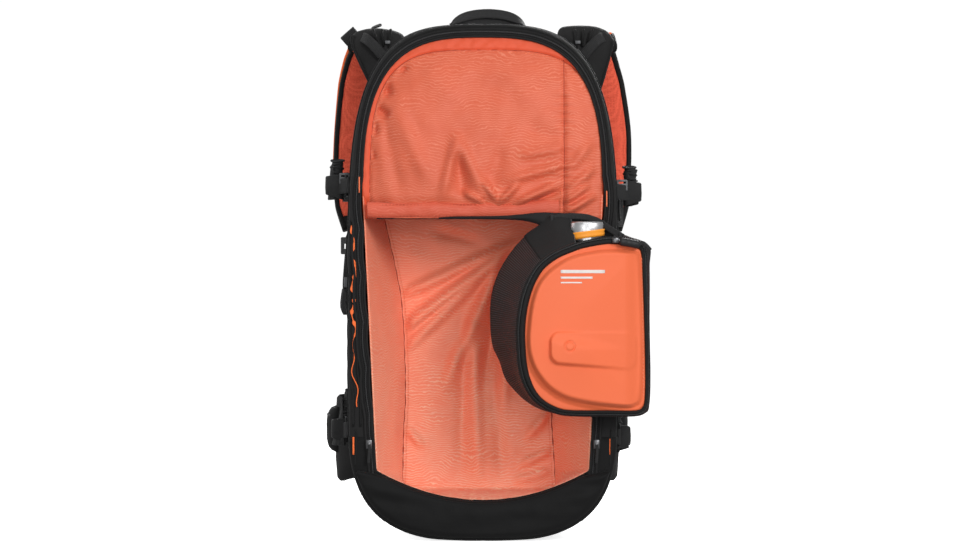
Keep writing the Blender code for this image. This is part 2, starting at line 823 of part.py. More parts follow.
def make_pod_slider():
    """The pod's zip slider and its fat rubber pull, which lies along the lid's top edge."""
    start, end = Vector(pod_lid_outline()[0]), Vector(pod_lid_outline()[2])
    run = (end - start).normalized()
    across = Vector((-run.y, run.x))
    if across.y > 0:
        across = -across
    origin = start + run * 0.010
    rings = []
    for lift in (0.0046, 0.0100):
        corners = [(0.0, -0.003), (0.0, 0.0065), (0.022, 0.0065), (0.022, -0.0005), (0.012, -0.003)]
        rings.append([on_lid(tuple(origin + run * a + across * b), lift) for a, b in corners])
    slider = loft("pod_zip_slider", rings, "black_plastic")
    pivot_on(tuple(on_lid(tuple(origin), 0.0046)), slider)


def make_inflator():
    x, z = FAN_CENTRE
    rear = POD_BACK - POD_PANEL - 0.0010
    depth = 0.031
    housing = turned(
        "fan_housing",
        (x, rear, z),
        [
            (0.0035, 0),
            (FAN_RADIUS, 0),
            (FAN_RADIUS, depth),
            (0.020, depth),
            (0.020, depth - 0.0025),
            (FAN_RADIUS - 0.003, depth - 0.0025),
            (FAN_RADIUS - 0.003, 0.003),
            (0.0035, 0.003),
        ],
        (0, -1, 0),
        "black_plastic",
        24,
    )
    motor = cylinder("fan_motor", (x, rear - 0.0073, z), 0.014, 0.008, (0, -1, 0), "aluminium")
    disc_back = rear - 0.0120
    disc = cylinder("impeller", (x, disc_back - 0.001, z), 0.036, 0.002, (0, -1, 0), "grey_plastic", 24)
    blades = 9
    outline = []
    for k in range(blades):
        turn = math.tau * k / blades
        for radius, angle in ((0.010, -0.12), (0.034, 0.27), (0.034, 0.32), (0.010, 0.10)):
            outline.append((x + radius * math.cos(turn + angle), z + radius * math.sin(turn + angle)))
    boolean(disc, "UNION", extruded("impeller_blades", outline, disc_back - 0.0150, disc_back - 0.001, "XZ", "grey_plastic"))
    pivot_on((x, disc_back, z), disc)
    duct = turned(
        "outlet_duct",
        (0.1165, -0.1290, 0.3035),
        [(0.0105, 0), (0.0125, 0), (0.0125, 0.0560), (0.0105, 0.0560)],
        (0, 0, 1),
        "aluminium",
        16,
    )
    cells = []
    for name, centre in (("upper", (0.100, 0.1955)), ("lower", (0.108, 0.1680))):
        cells.append(
            cylinder(f"supercapacitor_{name}", (centre[0], -0.1335, centre[1]), 0.0125, 0.058, (1, 0, 0), "blue_sleeve")
        )
    front = -0.1285
    control = box("control_box", (0.1430, front, 0.2250), (0.1775, rear, 0.3150), "black_plastic", 0.001)
    well = cylinder("button_well", (BUTTON_PLACE[0], front, BUTTON_PLACE[1]), 0.0056, 0.010, (0, 1, 0), "black_plastic")
    boolean(control, "DIFFERENCE", well)
    battery = box("battery_holder", (0.1430, front, 0.1600), (0.1775, rear, 0.2220), "grey_plastic", 0.001)
    button = cylinder(
        "power_button", (BUTTON_PLACE[0], front - 0.0003, BUTTON_PLACE[1]), 0.005, 0.005, (0, 1, 0), "orange_foam_shell", 12
    )
    pivot_on((BUTTON_PLACE[0], front, BUTTON_PLACE[1]), button)
    return [housing, motor, duct, *cells, control, battery]


def make_pod():
    """Everything that hangs from the slot under the pouch's hem."""
    hanging = make_pod_case() + make_inflator()
    pivot_on(POD_HANG, *hanging)
    pivot_on(LID_HINGE, *make_pod_lid())
    make_pod_slider()
    strip(
        "pod_sleeve",
        [(-0.095, FRONT - 0.0030, 0.3630), (0.0, FRONT - 0.0050, 0.3600), (0.070, FRONT - 0.0080, 0.3560)],
        (0, 0, 1),
        [0.003, 0.008, 0.018],
        0.002,
        "black_fabric",
    )


def main():
    clear_scene()
    make_body()
    make_lining()
    make_pouch()
    make_zip()
    make_front_panel()
    make_frame()
    make_haul_loop()
    make_back_pads()
    make_shoulder_harness()
    make_trigger()
    make_sternum_strap()
    make_hip_belt()
    make_upper_straps()
    make_lower_straps()
    make_pod()


main()
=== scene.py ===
"""Looks of the avalanche airbag backpack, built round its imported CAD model. Metres, +Z up, front at -Y."""

import math

import bmesh
import bpy
import numpy as np
from mathutils import Matrix, Vector, noise


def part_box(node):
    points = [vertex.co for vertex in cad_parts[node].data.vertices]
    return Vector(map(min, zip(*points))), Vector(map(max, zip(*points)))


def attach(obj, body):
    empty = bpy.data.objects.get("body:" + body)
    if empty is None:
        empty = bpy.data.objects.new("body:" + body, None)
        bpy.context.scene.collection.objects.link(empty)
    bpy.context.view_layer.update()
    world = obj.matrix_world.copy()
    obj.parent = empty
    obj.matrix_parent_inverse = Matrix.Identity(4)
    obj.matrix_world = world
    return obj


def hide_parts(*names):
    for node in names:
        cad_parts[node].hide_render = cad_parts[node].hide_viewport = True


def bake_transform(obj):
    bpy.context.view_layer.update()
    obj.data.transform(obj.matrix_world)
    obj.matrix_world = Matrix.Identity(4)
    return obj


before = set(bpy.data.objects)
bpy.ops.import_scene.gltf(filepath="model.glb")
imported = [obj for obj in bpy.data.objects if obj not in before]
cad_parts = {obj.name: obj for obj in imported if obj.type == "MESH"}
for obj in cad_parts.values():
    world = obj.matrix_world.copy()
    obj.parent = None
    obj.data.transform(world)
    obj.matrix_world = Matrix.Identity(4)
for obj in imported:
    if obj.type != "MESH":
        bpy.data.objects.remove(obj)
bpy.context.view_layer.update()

# The pack's driving sizes, read from the frame.
SHELL_LOW, SHELL_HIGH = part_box("body_shell")
BOOT_LOW, BOOT_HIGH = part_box("base_boot")
HALF_WIDTH = SHELL_HIGH.x
TOP = SHELL_HIGH.z
FRONT = BOOT_LOW.y
BACK = SHELL_HIGH.y
BOOT_TOP = BOOT_HIGH.z
ARCH_START, ARCH_POWER = 0.300, 3.4
BASE_START, BASE_POWER = 0.150, 3.0
TOP_SET_BACK = 0.035
BACK_TOP = 0.568
OPENING_FOOT = (0.121, 0.080)
OPENING_SIDE = (0.136, 0.385)
OPENING_TOP = 0.572
SMILE_LOW = 0.046
MIDDLE = 0.290

# Each side's sign on X, and its name. The wearer's left is at -X.
SIDES = ((-1, "left"), (1, "right"))

# The camera stands level, straight in front of the pack.
CAMERA_GAP = 4.0
EYE = Vector((0.007, FRONT - CAMERA_GAP, 0.301))
VIEW_WIDTH = 1.105
SENSOR = 36.0


# ---------------------------------------------------------------- places


def seen(x, z, y):
    """The place at depth y that the camera sees at (x, z) on the opening's plane."""
    reach = (y - EYE.y) / CAMERA_GAP
    return Vector((EYE.x + (x - EYE.x) * reach, y, EYE.z + (z - EYE.z) * reach))


def smooth(low, high, value):
    t = min(max((value - low) / (high - low), 0.0), 1.0)
    return t * t * (3 - 2 * t)


def mix(a, b, t):
    return a + (b - a) * t


def wander(x, y, z, size):
    """Smooth noise from -1 to 1 whose features are about size across."""
    return noise.noise(Vector((x, y, z)) / size)


def curve_through(points, count):
    """count points on a smooth curve through the given ones, evenly spaced."""
    points = [Vector(p) for p in points]
    ends = [2 * points[0] - points[1], *points, 2 * points[-1] - points[-2]]
    fine = []
    for a, b, c, d in zip(ends, ends[1:], ends[2:], ends[3:]):
        for k in range(16):
            t = k / 16
            fine.append(
                0.5 * (
                    2 * b + (c - a) * t + (2 * a - 5 * b + 4 * c - d) * t**2 + (3 * b - a - 3 * c + d) * t**3
                )
            )
    return spaced(fine + [points[-1]], count)


def spaced(points, count):
    """The same polyline as count evenly spaced points."""
    points = np.array([tuple(p) for p in points], float)
    run = np.concatenate([[0], np.cumsum(np.linalg.norm(np.diff(points, axis=0), axis=1))])
    at = np.linspace(0, run[-1], count)
    return [Vector([np.interp(t, run, points[:, k]) for k in range(points.shape[1])]) for t in at]


def quarter(half_width, height, power, degrees):
    angle = math.radians(degrees)
    share = 2 / power
    return half_width * max(math.cos(angle), 0.0) ** share, height * max(math.sin(angle), 0.0) ** share


def body_outline(half_width, top, power):
    """The pack's outline as (x, z), right half from the bottom centre to the top centre, then the left."""
    half = []
    for degrees in range(90, 0, -4):
        x, z = quarter(half_width, BASE_START, BASE_POWER, degrees)
        half.append((x, BASE_START - z))
    half += [(half_width, BASE_START + (ARCH_START - BASE_START) * k / 6) for k in range(7)]
    for degrees in range(3, 91, 3):
        x, z = quarter(half_width, top - ARCH_START, power, degrees)
        half.append((x, ARCH_START + z))
    return half + [(-x, z) for x, z in reversed(half[1:-1])]


def opening_x(z):
    (low_x, low_z), (high_x, high_z) = OPENING_FOOT, OPENING_SIDE
    return low_x + (z - low_z) * (high_x - low_x) / (high_z - low_z)


def smile_z(x):
    foot_x, foot_z = OPENING_FOOT
    return SMILE_LOW + (foot_z - SMILE_LOW) * (x / foot_x) ** 2


def opening_outline():
    foot_x = OPENING_FOOT[0]
    side_x, side_z = OPENING_SIDE
    half = [(foot_x * k / 14, smile_z(foot_x * k / 14)) for k in range(15)]
    half += [(opening_x(z), z) for z in (0.090, 0.110, 0.150, 0.200, 0.250, 0.300, 0.350)]
    for degrees in range(3, 91, 3):
        x, z = quarter(side_x, OPENING_TOP - side_z, 3.0, degrees)
        half.append((x, side_z + z))
    return half + [(-x, z) for x, z in reversed(half[1:-1])]


class Radial:
    """An outline as a distance from the pack's middle in each direction."""

    def __init__(self, outline):
        turned = sorted((math.atan2(z - MIDDLE, x) % math.tau, math.hypot(x, z - MIDDLE)) for x, z in outline)
        self.angles = [a for a, _ in turned]
        self.lengths = [r for _, r in turned]

    def __call__(self, angle):
        return float(np.interp(angle % math.tau, self.angles, self.lengths, period=math.tau))


SIDE = Radial(body_outline(HALF_WIDTH, TOP, ARCH_POWER))
REAR = Radial(body_outline(HALF_WIDTH - 0.004, BACK_TOP, 4.5))
OPENING = Radial(opening_outline())


def front_y(z):
    return FRONT + TOP_SET_BACK * max(0.0, (z - ARCH_START) / (TOP - ARCH_START)) ** 2


def around(angle, radius, depth, from_front=True):
    """A point in that direction. depth is measured from the front face, or else is y itself."""
    x, z = radius * math.cos(angle), MIDDLE + radius * math.sin(angle)
    return Vector((x, front_y(z) + depth if from_front else depth, z))


def crease(x, z, folds):
    """The height that a list of folds (start, end, width, height) gives the cloth at (x, z)."""
    total = 0.0
    for (ax, az), (bx, bz), width, height in folds:
        dx, dz = bx - ax, bz - az
        t = ((x - ax) * dx + (z - az) * dz) / (dx * dx + dz * dz)
        if not -0.3 < t < 1.3:
            continue
        away = ((x - ax) * dz - (z - az) * dx) / math.hypot(dx, dz)
        ends = smooth(-0.3, 0.25, t) * smooth(1.3, 0.75, t)
        total += height * ends * math.exp(-((away / width) ** 2))
    return total


# ---------------------------------------------------------------- meshes


def new_object(name, mesh, material, body):
    obj = bpy.data.objects.new(name, mesh)
    bpy.context.scene.collection.objects.link(obj)
    mesh.materials.append(material)
    mesh.shade_smooth()
    if body:
        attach(obj, body)
    return obj


def grid(name, rows, material, body="pack", wrap=False, caps=False, flip=False):
    """A surface through rows of equally many points, with its UVs in metres."""
    bm = bmesh.new()
    uv = bm.loops.layers.uv.new("UVMap")
    rows = [[Vector(p) for p in row] for row in rows]
    verts = [[bm.verts.new(p) for p in row] for row in rows]
    down = [0.0]
    for a, b in zip(rows, rows[1:]):
        down.append(down[-1] + sum((p - q).length for p, q in zip(a, b)) / len(a))
    middle = rows[len(rows) // 2]
    across = [0.0]
    for p, q in zip(middle, middle[1:] + middle[:1]):
        across.append(across[-1] + (p - q).length)
    count = len(rows[0])
    for j in range(len(rows) - 1):
        for i in range(count if wrap else count - 1):
            k = (i + 1) % count
            corners = [(j, i, i), (j, k, i + 1), (j + 1, k, i + 1), (j + 1, i, i)]
            if flip:
                corners.reverse()
            face = bm.faces.new([verts[a][b] for a, b, _ in corners])
            for loop, (a, _, u) in zip(face.loops, corners):
                loop[uv].uv = (across[u], down[a])
    if caps:
        bm.faces.new(verts[0])
        bm.faces.new(verts[-1])
    if caps or wrap:
        bmesh.ops.recalc_face_normals(bm, faces=bm.faces)
    mesh = bpy.data.meshes.new(name)
    bm.to_mesh(mesh)
    bm.free()
    return new_object(name, mesh, material, body)


def solidified(obj, thickness, offset=-1.0):
    made = obj.modifiers.new("thickness", "SOLIDIFY")
    made.thickness = thickness
    made.offset = offset
    return obj


def solidify_now(obj, thickness):
    bm = bmesh.new()
    bm.from_mesh(obj.data)
    bmesh.ops.solidify(bm, geom=bm.faces[:], thickness=thickness)
    bm.to_mesh(obj.data)
    bm.free()


def joined(name, parts, material, body="pack"):
    """Several lists of rings made into one object, each list one capped sweep, with its material slot."""
    bm = bmesh.new()
    uv = bm.loops.layers.uv.new("UVMap")
    for rings in parts:
        verts = [[bm.verts.new(p) for p in ring] for ring in rings]
        count = len(rings[0])
        run = 0.0
        for j in range(len(rings) - 1):
            step = (Vector(rings[j + 1][0]) - Vector(rings[j][0])).length
            wide = 0.0
            for i in range(count):
                k = (i + 1) % count
                side = (Vector(rings[j][k]) - Vector(rings[j][i])).length
                face = bm.faces.new((verts[j][i], verts[j][k], verts[j + 1][k], verts[j + 1][i]))
                places = ((wide, run), (wide + side, run), (wide + side, run + step), (wide, run + step))
                for loop, place in zip(face.loops, places):
                    loop[uv].uv = place
                wide += side
            run += step
        bm.faces.new(verts[0])
        bm.faces.new(verts[-1])
    bmesh.ops.recalc_face_normals(bm, faces=bm.faces)
    mesh = bpy.data.meshes.new(name)
    bm.to_mesh(mesh)
    bm.free()
    piece = new_object(name, mesh, material, body)
    return piece


def frames(path, across=None):
    """For each point of path: the point, the width's direction and the thickness's direction."""
    path = [Vector(p) for p in path]
    made, side = [], None
    for i, point in enumerate(path):
        run = (path[min(i + 1, len(path) - 1)] - path[max(i - 1, 0)]).normalized()
        if across is None:
            side = side if side else run.orthogonal()
        else:
            side = Vector(across[i]) if isinstance(across, list) else Vector(across)
        side = (side - run * side.dot(run)).normalized()
        made.append((point, side, run.cross(side)))
    return made


def tube_rings(path, radius, sides=8):
    radii = radius if isinstance(radius, list) else [radius] * len(path)
    rings = []
    for (point, a, b), r in zip(frames(path), radii):
        turns = [math.tau * k / sides for k in range(sides)]
        rings.append([point + (a * math.cos(t) + b * math.sin(t)) * r for t in turns])
    return rings


def flat_section(width, thickness, crown=0.0):
    """A webbing's or a pad's section: flat with round edges, and fuller in its middle by crown."""
    half, edge = width / 2, min(thickness / 2, width / 4)
    outline = []
    for sign in (1, -1):
        for k in range(7):
            x = (half - edge) * (1 - k / 3)
            bulge = crown * (1 - (x / max(half, 1e-6)) ** 2)
            outline.append((sign * x, sign * (thickness / 2 + bulge)))
        outline.append((-sign * (half - edge * 0.25), sign * thickness * 0.22))
        outline.append((-sign * (half - edge * 0.25), -sign * thickness * 0.22))
    return outline


def ribbon_rings(path, across, width, thickness, crown=0.0):
    widths = width if isinstance(width, list) else [width] * len(path)
    crowns = crown if isinstance(crown, list) else [crown] * len(path)
    rings = []
    for (point, a, b), w, c in zip(frames(path, across), widths, crowns):
        rings.append([point + a * u + b * v for u, v in flat_section(w, thickness, c)])
    return rings


def stitch_parts(path, lift, size=0.0026, gap=0.0014, radius=0.00035):
    """A row of stitches along path. lift is the direction that they stand out in."""
    lift = Vector(lift).normalized()
    total = sum((Vector(b) - Vector(a)).length for a, b in zip(path, path[1:]))
    count = max(int(total / (size + gap)), 1)
    fine = spaced(path, count * 6 + 1)
    parts = []
    for k in range(count):
        piece = fine[k * 6 : k * 6 + 5]
        raised = [p + lift * radius * math.sin(math.pi * i / 4) for i, p in enumerate(piece)]
        parts.append(tube_rings(raised, radius, 4))
    return parts


def block(low, high):
    """The rings of a box with softly rounded edges."""
    low, high = Vector(low), Vector(high)
    size = high - low
    round_off = min(size) * 0.22
    rings = []
    for share, depth in ((0.5, 0.0), (0.15, 0.15), (0.0, 0.5), (0.0, -0.5), (0.15, -0.15), (0.5, 0.0)):
        inset = round_off * share
        z = low.z + round_off * depth if depth >= 0 and len(rings) < 3 else high.z + round_off * depth
        x0, x1, y0, y1 = low.x + inset, high.x - inset, low.y + inset, high.y - inset
        r = round_off * 0.6
        rings.append(
            [
                Vector(p + (z,))
                for p in (
                    (x0 + r, y0),
                    (x1 - r, y0),
                    (x1, y0 + r),
                    (x1, y1 - r),
                    (x1 - r, y1),
                    (x0 + r, y1),
                    (x0, y1 - r),
                    (x0, y0 + r),
                )
            ]
        )
    return rings


# ---------------------------------------------------------------- materials


class Graph:
    """A material with short ways to add nodes to it."""

    def __init__(self, name, colour, roughness, metallic=0.0, sheen=0.0, specular=0.5):
        self.material = bpy.data.materials.new(name)
        self.material.use_nodes = True
        self.tree = self.material.node_tree
        self.shader = self.tree.nodes["Principled BSDF"]
        self.shader.inputs["Base Color"].default_value = (*colour, 1.0)
        self.shader.inputs["Roughness"].default_value = roughness
        self.shader.inputs["Metallic"].default_value = metallic
        self.shader.inputs["Sheen Weight"].default_value = sheen
        self.shader.inputs["Sheen Roughness"].default_value = 0.4
        self.shader.inputs["Specular IOR Level"].default_value = specular
        self.height = None

    def put(self, socket, value):
        if isinstance(value, bpy.types.NodeSocket):
            self.tree.links.new(value, socket)
        elif value is not None:
            socket.default_value = value

    def node(self, kind, inputs=(), **settings):
        made = self.tree.nodes.new(kind)
        for key, value in settings.items():
            setattr(made, key, value)
        for key, value in dict(inputs).items():
            self.put(made.inputs[key], value)
        return made

    def math(self, operation, a, b=None, c=None, clamp=False):
        made = self.node("ShaderNodeMath", operation=operation, use_clamp=clamp)
        for socket, value in zip(made.inputs, (a, b, c)):
            self.put(socket, value)
        return made.outputs[0]

    def place(self, uv=False):
        made = self.node("ShaderNodeTexCoord")
        return made.outputs["UV" if uv else "Object"]

    def axes(self, uv=False):
        made = self.node("ShaderNodeSeparateXYZ", {"Vector": self.place(uv)})
        return made.outputs

    def noise(self, size, detail=2.0, uv=False, rough=0.5):
        made = self.node(
            "ShaderNodeTexNoise",
            {"Vector": self.place(uv), "Scale": 1.0 / size, "Detail": detail, "Roughness": rough},
        )
        return made.outputs["Fac"]

    def wave(self, value, period, sharp=1.0):
        """A rounded ridge, 0 to 1, that repeats every period of value."""
        turned = self.math("SINE", self.math("MULTIPLY", value, math.tau / period))
        ridge = self.math("MULTIPLY_ADD", turned, 0.5, 0.5)
        return self.math("POWER", ridge, sharp) if sharp != 1.0 else ridge

    def colour_mix(self, factor, a, b):
        made = self.node("ShaderNodeMix", data_type="RGBA")
        self.put(made.inputs[0], factor)
        for socket, value in ((made.inputs[6], a), (made.inputs[7], b)):
            self.put(socket, (*value, 1.0) if isinstance(value, tuple) else value)
        return made.outputs[2]

    def base(self, colour):
        self.put(self.shader.inputs["Base Color"], colour)
        return self

    def rough(self, value, low, high):
        ranged = self.math("MULTIPLY_ADD", value, high - low, low)
        self.put(self.shader.inputs["Roughness"], ranged)
        return self

    def bump(self, value, distance, strength=1.0):
        """Adds a layer of relief that is distance high."""
        inputs = {"Height": value, "Distance": distance, "Strength": strength}
        if self.height:
            inputs["Normal"] = self.height
        self.height = self.node("ShaderNodeBump", inputs).outputs[0]
        self.put(self.shader.inputs["Normal"], self.height)
        return self


def shade(colour, factor):
    return tuple(c * factor for c in colour)


def woven(name, colour, period=0.0011, roughness=0.72, sheen=0.02, fade=0.22, specular=0.16):
    """A plain weave with faint uneven wear."""
    g = Graph(name, colour, roughness, sheen=sheen, specular=specular)
    x, y, z = g.axes()
    over = g.wave(g.math("ADD", x, y), period)
    under = g.wave(z, period)
    weave = g.math("MAXIMUM", over, under)
    patches = g.noise(0.045, 3.0)
    fine = g.noise(0.004, 4.0)
    tone = g.math("MULTIPLY_ADD", patches, 0.6, g.math("MULTIPLY", fine, 0.4))
    g.base(g.colour_mix(tone, shade(colour, 1 - fade), shade(colour, 1 + fade)))
    g.rough(fine, roughness - 0.08, roughness + 0.10)
    g.bump(weave, 0.00018, 0.55).bump(fine, 0.0004, 0.35)
    return g.material


def webbing_material(name, colour, period=0.0016):
    """Ribs across the webbing and finer threads along it."""
    g = Graph(name, colour, 0.62, sheen=0.03, specular=0.22)
    u, v, _ = g.axes(uv=True)
    ribs = g.wave(v, period, 1.6)
    threads = g.wave(u, 0.0011)
    fuzz = g.noise(0.002, 3.0)
    tone = g.math("MULTIPLY_ADD", ribs, 0.5, g.math("MULTIPLY", fuzz, 0.5))
    g.base(g.colour_mix(tone, shade(colour, 0.55), shade(colour, 1.5)))
    g.bump(ribs, 0.00035, 0.8).bump(threads, 0.00012, 0.5)
    return g.material


def printed_lining(name, colour, pale, ink=0.75, low=None):
    """Thin coated fabric with a map's contour lines printed on it, denser below the height low, where the
    ground is also painted paler: painted light towards the bottom, painted shade under the pouch's hem above
    it.
    """
    g = Graph(name, colour, 0.52, sheen=0.05, specular=0.30)
    x, y, z = g.axes()
    hills = g.noise(0.075, 2.0, rough=0.45)
    ripple = g.noise(0.017, 3.0, rough=0.6)
    lift = g.math("MULTIPLY_ADD", hills, 0.040, g.math("MULTIPLY", ripple, 0.0110))
    level = g.math("ADD", z, lift)
    lines = g.wave(level, 0.0031, 4.0)
    fine = g.wave(g.math("MULTIPLY_ADD", ripple, 0.0100, z), 0.0017, 2.0)
    broken = g.noise(0.028, 3.0, rough=0.7)
    strength = g.math("MULTIPLY_ADD", broken, 2.6, -0.55, clamp=True)
    drawn = g.math("MULTIPLY_ADD", fine, 0.30, g.math("MULTIPLY", lines, strength))
    cloth = g.noise(0.090, 3.0, rough=0.6)
    ground = g.colour_mix(cloth, shade(colour, 0.88), shade(colour, 1.10))
    amount = ink
    # Below the height low the print grows denser and the ground paler, as painted light; the darker ground
    # higher up is painted shade under the hem.
    if low:
        fade = g.node(
            "ShaderNodeMapRange", {"Value": z, 1: low, 2: 0.06, 3: ink * 0.45, 4: ink},
            interpolation_type="SMOOTHSTEP"
        )
        amount = fade.outputs[0]
        ground = g.colour_mix(g.math("MULTIPLY", amount, 0.30), ground, pale)
    g.base(g.colour_mix(g.math("MULTIPLY", drawn, amount, clamp=True), ground, pale))
    threads = g.math("MAXIMUM", g.wave(g.math("ADD", x, y), 0.0006), g.wave(z, 0.0006))
    g.bump(threads, 0.00008, 0.5).bump(g.noise(0.018, 4.0, rough=0.6), 0.0011, 0.55)
    g.rough(broken, 0.44, 0.62)
    return g.material


def open_mesh(name, dark, light, size=0.0022):
    """Knitted mesh: rows of small dark holes in paler yarn."""
    g = Graph(name, dark, 0.78, specular=0.2)
    holes = g.node("ShaderNodeTexVoronoi", {"Vector": g.place(), "Scale": 1.0 / size, "Randomness": 0.25})
    gap = g.math("SMOOTH_MIN", g.math("MULTIPLY", holes.outputs["Distance"], 1.6), 1.0, 0.2)
    patches = g.noise(0.05, 2.0)
    tone = g.math("MULTIPLY", gap, g.math("MULTIPLY_ADD", patches, 0.6, 0.7), clamp=True)
    g.base(g.colour_mix(tone, dark, light))
    g.bump(gap, 0.0006, 0.9)
    return g.material


def ribbed_mesh(name, dark, light, see_through, period=0.0026):
    """Stretched spacer mesh: fine ribs that catch the light, and a glow of what is behind them."""
    g = Graph(name, dark, 0.60, specular=0.2)
    u, v, _ = g.axes(uv=True)
    ribs = g.wave(u, period, 2.5)
    cross = g.wave(v, 0.0016)
    glow = g.noise(0.05, 2.0)
    thread = g.math("MULTIPLY", ribs, g.math("MULTIPLY_ADD", cross, 0.5, 0.5))
    behind = g.colour_mix(g.math("MULTIPLY_ADD", glow, 2.2, -0.65, clamp=True), dark, see_through)
    g.base(g.colour_mix(thread, behind, light))
    g.bump(thread, 0.0006, 0.8)
    return g.material


def moulded_foam(name, colour):
    """Thermoformed foam with a fine knitted face."""
    g = Graph(name, colour, 0.58, sheen=0.06, specular=0.35)
    x, _, z = g.axes()
    knit = g.math("MULTIPLY", g.wave(x, 0.0008), g.wave(z, 0.0008))
    cloud = g.noise(0.09, 2.0)
    grain = g.noise(0.0015, 3.0)
    g.base(g.colour_mix(cloud, shade(colour, 0.94), shade(colour, 1.06)))
    g.rough(grain, 0.50, 0.66)
    g.bump(knit, 0.00010, 0.5).bump(grain, 0.00015, 0.5)
    return g.material


def plastic(name, colour, roughness=0.38, grain=0.0009):
    g = Graph(name, colour, roughness, specular=0.35)
    fine = g.noise(grain, 4.0)
    wear = g.noise(0.012, 4.0, rough=0.7)
    g.base(g.colour_mix(wear, shade(colour, 0.8), shade(colour, 1.25)))
    g.rough(wear, roughness - 0.08, roughness + 0.14)
    g.bump(fine, 0.00012, 0.5)
    return g.material


def metal(name, colour, roughness=0.28):
    g = Graph(name, colour, roughness, metallic=1.0)
    brushed = g.noise(0.0012, 4.0)
    smear = g.noise(0.02, 3.0)
    g.base(g.colour_mix(smear, shade(colour, 0.85), shade(colour, 1.0)))
    g.rough(smear, roughness - 0.06, roughness + 0.12)
    g.bump(brushed, 0.00008, 0.4)
    return g.material


M = {
    "shell": woven("shell_nylon", (0.0150, 0.0148, 0.0150)),
    "boot": woven("boot_cordura", (0.0092, 0.0092, 0.0094), period=0.0016, fade=0.30, specular=0.12),
    "tape": woven("binding_tape", (0.0100, 0.0100, 0.0102), period=0.0007, roughness=0.6),
    "elastic": webbing_material("black_elastic", (0.0200, 0.0200, 0.0205), 0.0011),
    "coil": plastic("zip_coil", (0.014, 0.014, 0.015), 0.42),
    "webbing": webbing_material("black_webbing", (0.0200, 0.0200, 0.0205)),
    "lining": printed_lining("printed_lining", (0.620, 0.108, 0.050), (0.800, 0.300, 0.190), 0.42),
    # The compartment's lining is the pouch's printed fabric painted much lighter, as painted light in the
    # deep compartment.
    "deep_lining_painted_light": printed_lining(
        "printed_deep_lining", (0.930, 0.180, 0.088), (1.000, 0.600, 0.420), 0.95, low=0.34
    ),
    "hem": printed_lining("printed_hem", (0.590, 0.090, 0.046), (0.740, 0.200, 0.120), 0.40),
    "plain_lining": woven(
        "plain_lining", (0.700, 0.092, 0.036), period=0.0008, roughness=0.5, fade=0.06, specular=0.3
    ),
    "strap_mesh": open_mesh("strap_mesh", (0.600, 0.055, 0.028), (0.930, 0.140, 0.075), 0.0018),
    "pad_mesh": open_mesh("pad_mesh", (0.006, 0.006, 0.0065), (0.035, 0.035, 0.037), 0.0030),
    "gusset": ribbed_mesh(
        "gusset_mesh", (0.0080, 0.0078, 0.0080), (0.062, 0.064, 0.068), (0.034, 0.009, 0.006), 0.0022
    ),
    "lid": moulded_foam("lid_foam", (0.790, 0.150, 0.055)),
    "pale_thread": woven("pale_thread", (0.900, 0.330, 0.200), period=0.0006),
    # Pale grey for the pod wall's edge piping: a painted highlight along its edges.
    "painted_highlight_grey": woven("painted_highlight_grey", (0.060, 0.060, 0.062), period=0.0006),
    "orange_cord": woven("orange_cord", (0.900, 0.170, 0.045), period=0.0008),
    "orange_thread": woven("orange_thread", (0.820, 0.200, 0.090), period=0.0006),
    "dark_thread": woven("dark_thread", (0.330, 0.050, 0.028), period=0.0006),
    "black_thread": woven("black_thread", (0.030, 0.030, 0.031), period=0.0006),
    "plastic": plastic("moulded_black", (0.013, 0.013, 0.014)),
    "grey_plastic": plastic("moulded_grey", (0.110, 0.112, 0.118), 0.42),
    "orange_plastic": plastic("moulded_orange", (0.850, 0.150, 0.030), 0.30),
    "yellow_plastic": plastic("moulded_yellow", (0.900, 0.330, 0.030), 0.35),
    "print": plastic("white_print", (0.680, 0.630, 0.600), 0.50),
    "metal": metal("brushed_metal", (0.560, 0.560, 0.570), 0.36),
    "metal_dark": metal("dark_metal", (0.120, 0.120, 0.125), 0.35),
    "blue": plastic("cell_sleeve", (0.040, 0.100, 0.280), 0.30),
    "rubber": plastic("rubber_pull", (0.012, 0.012, 0.013), 0.52, 0.0016),
}


def finish_with(material, *nodes):
    """Gives CAD nodes that keep their shape a better material."""
    for node in nodes:
        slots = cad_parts[node].material_slots
        for slot in slots:
            slot.link = "OBJECT"
            slot.material = M[material]


# ---------------------------------------------------------------- pack body


COLUMNS = 288
TURN = [math.tau * k / COLUMNS for k in range(COLUMNS)]


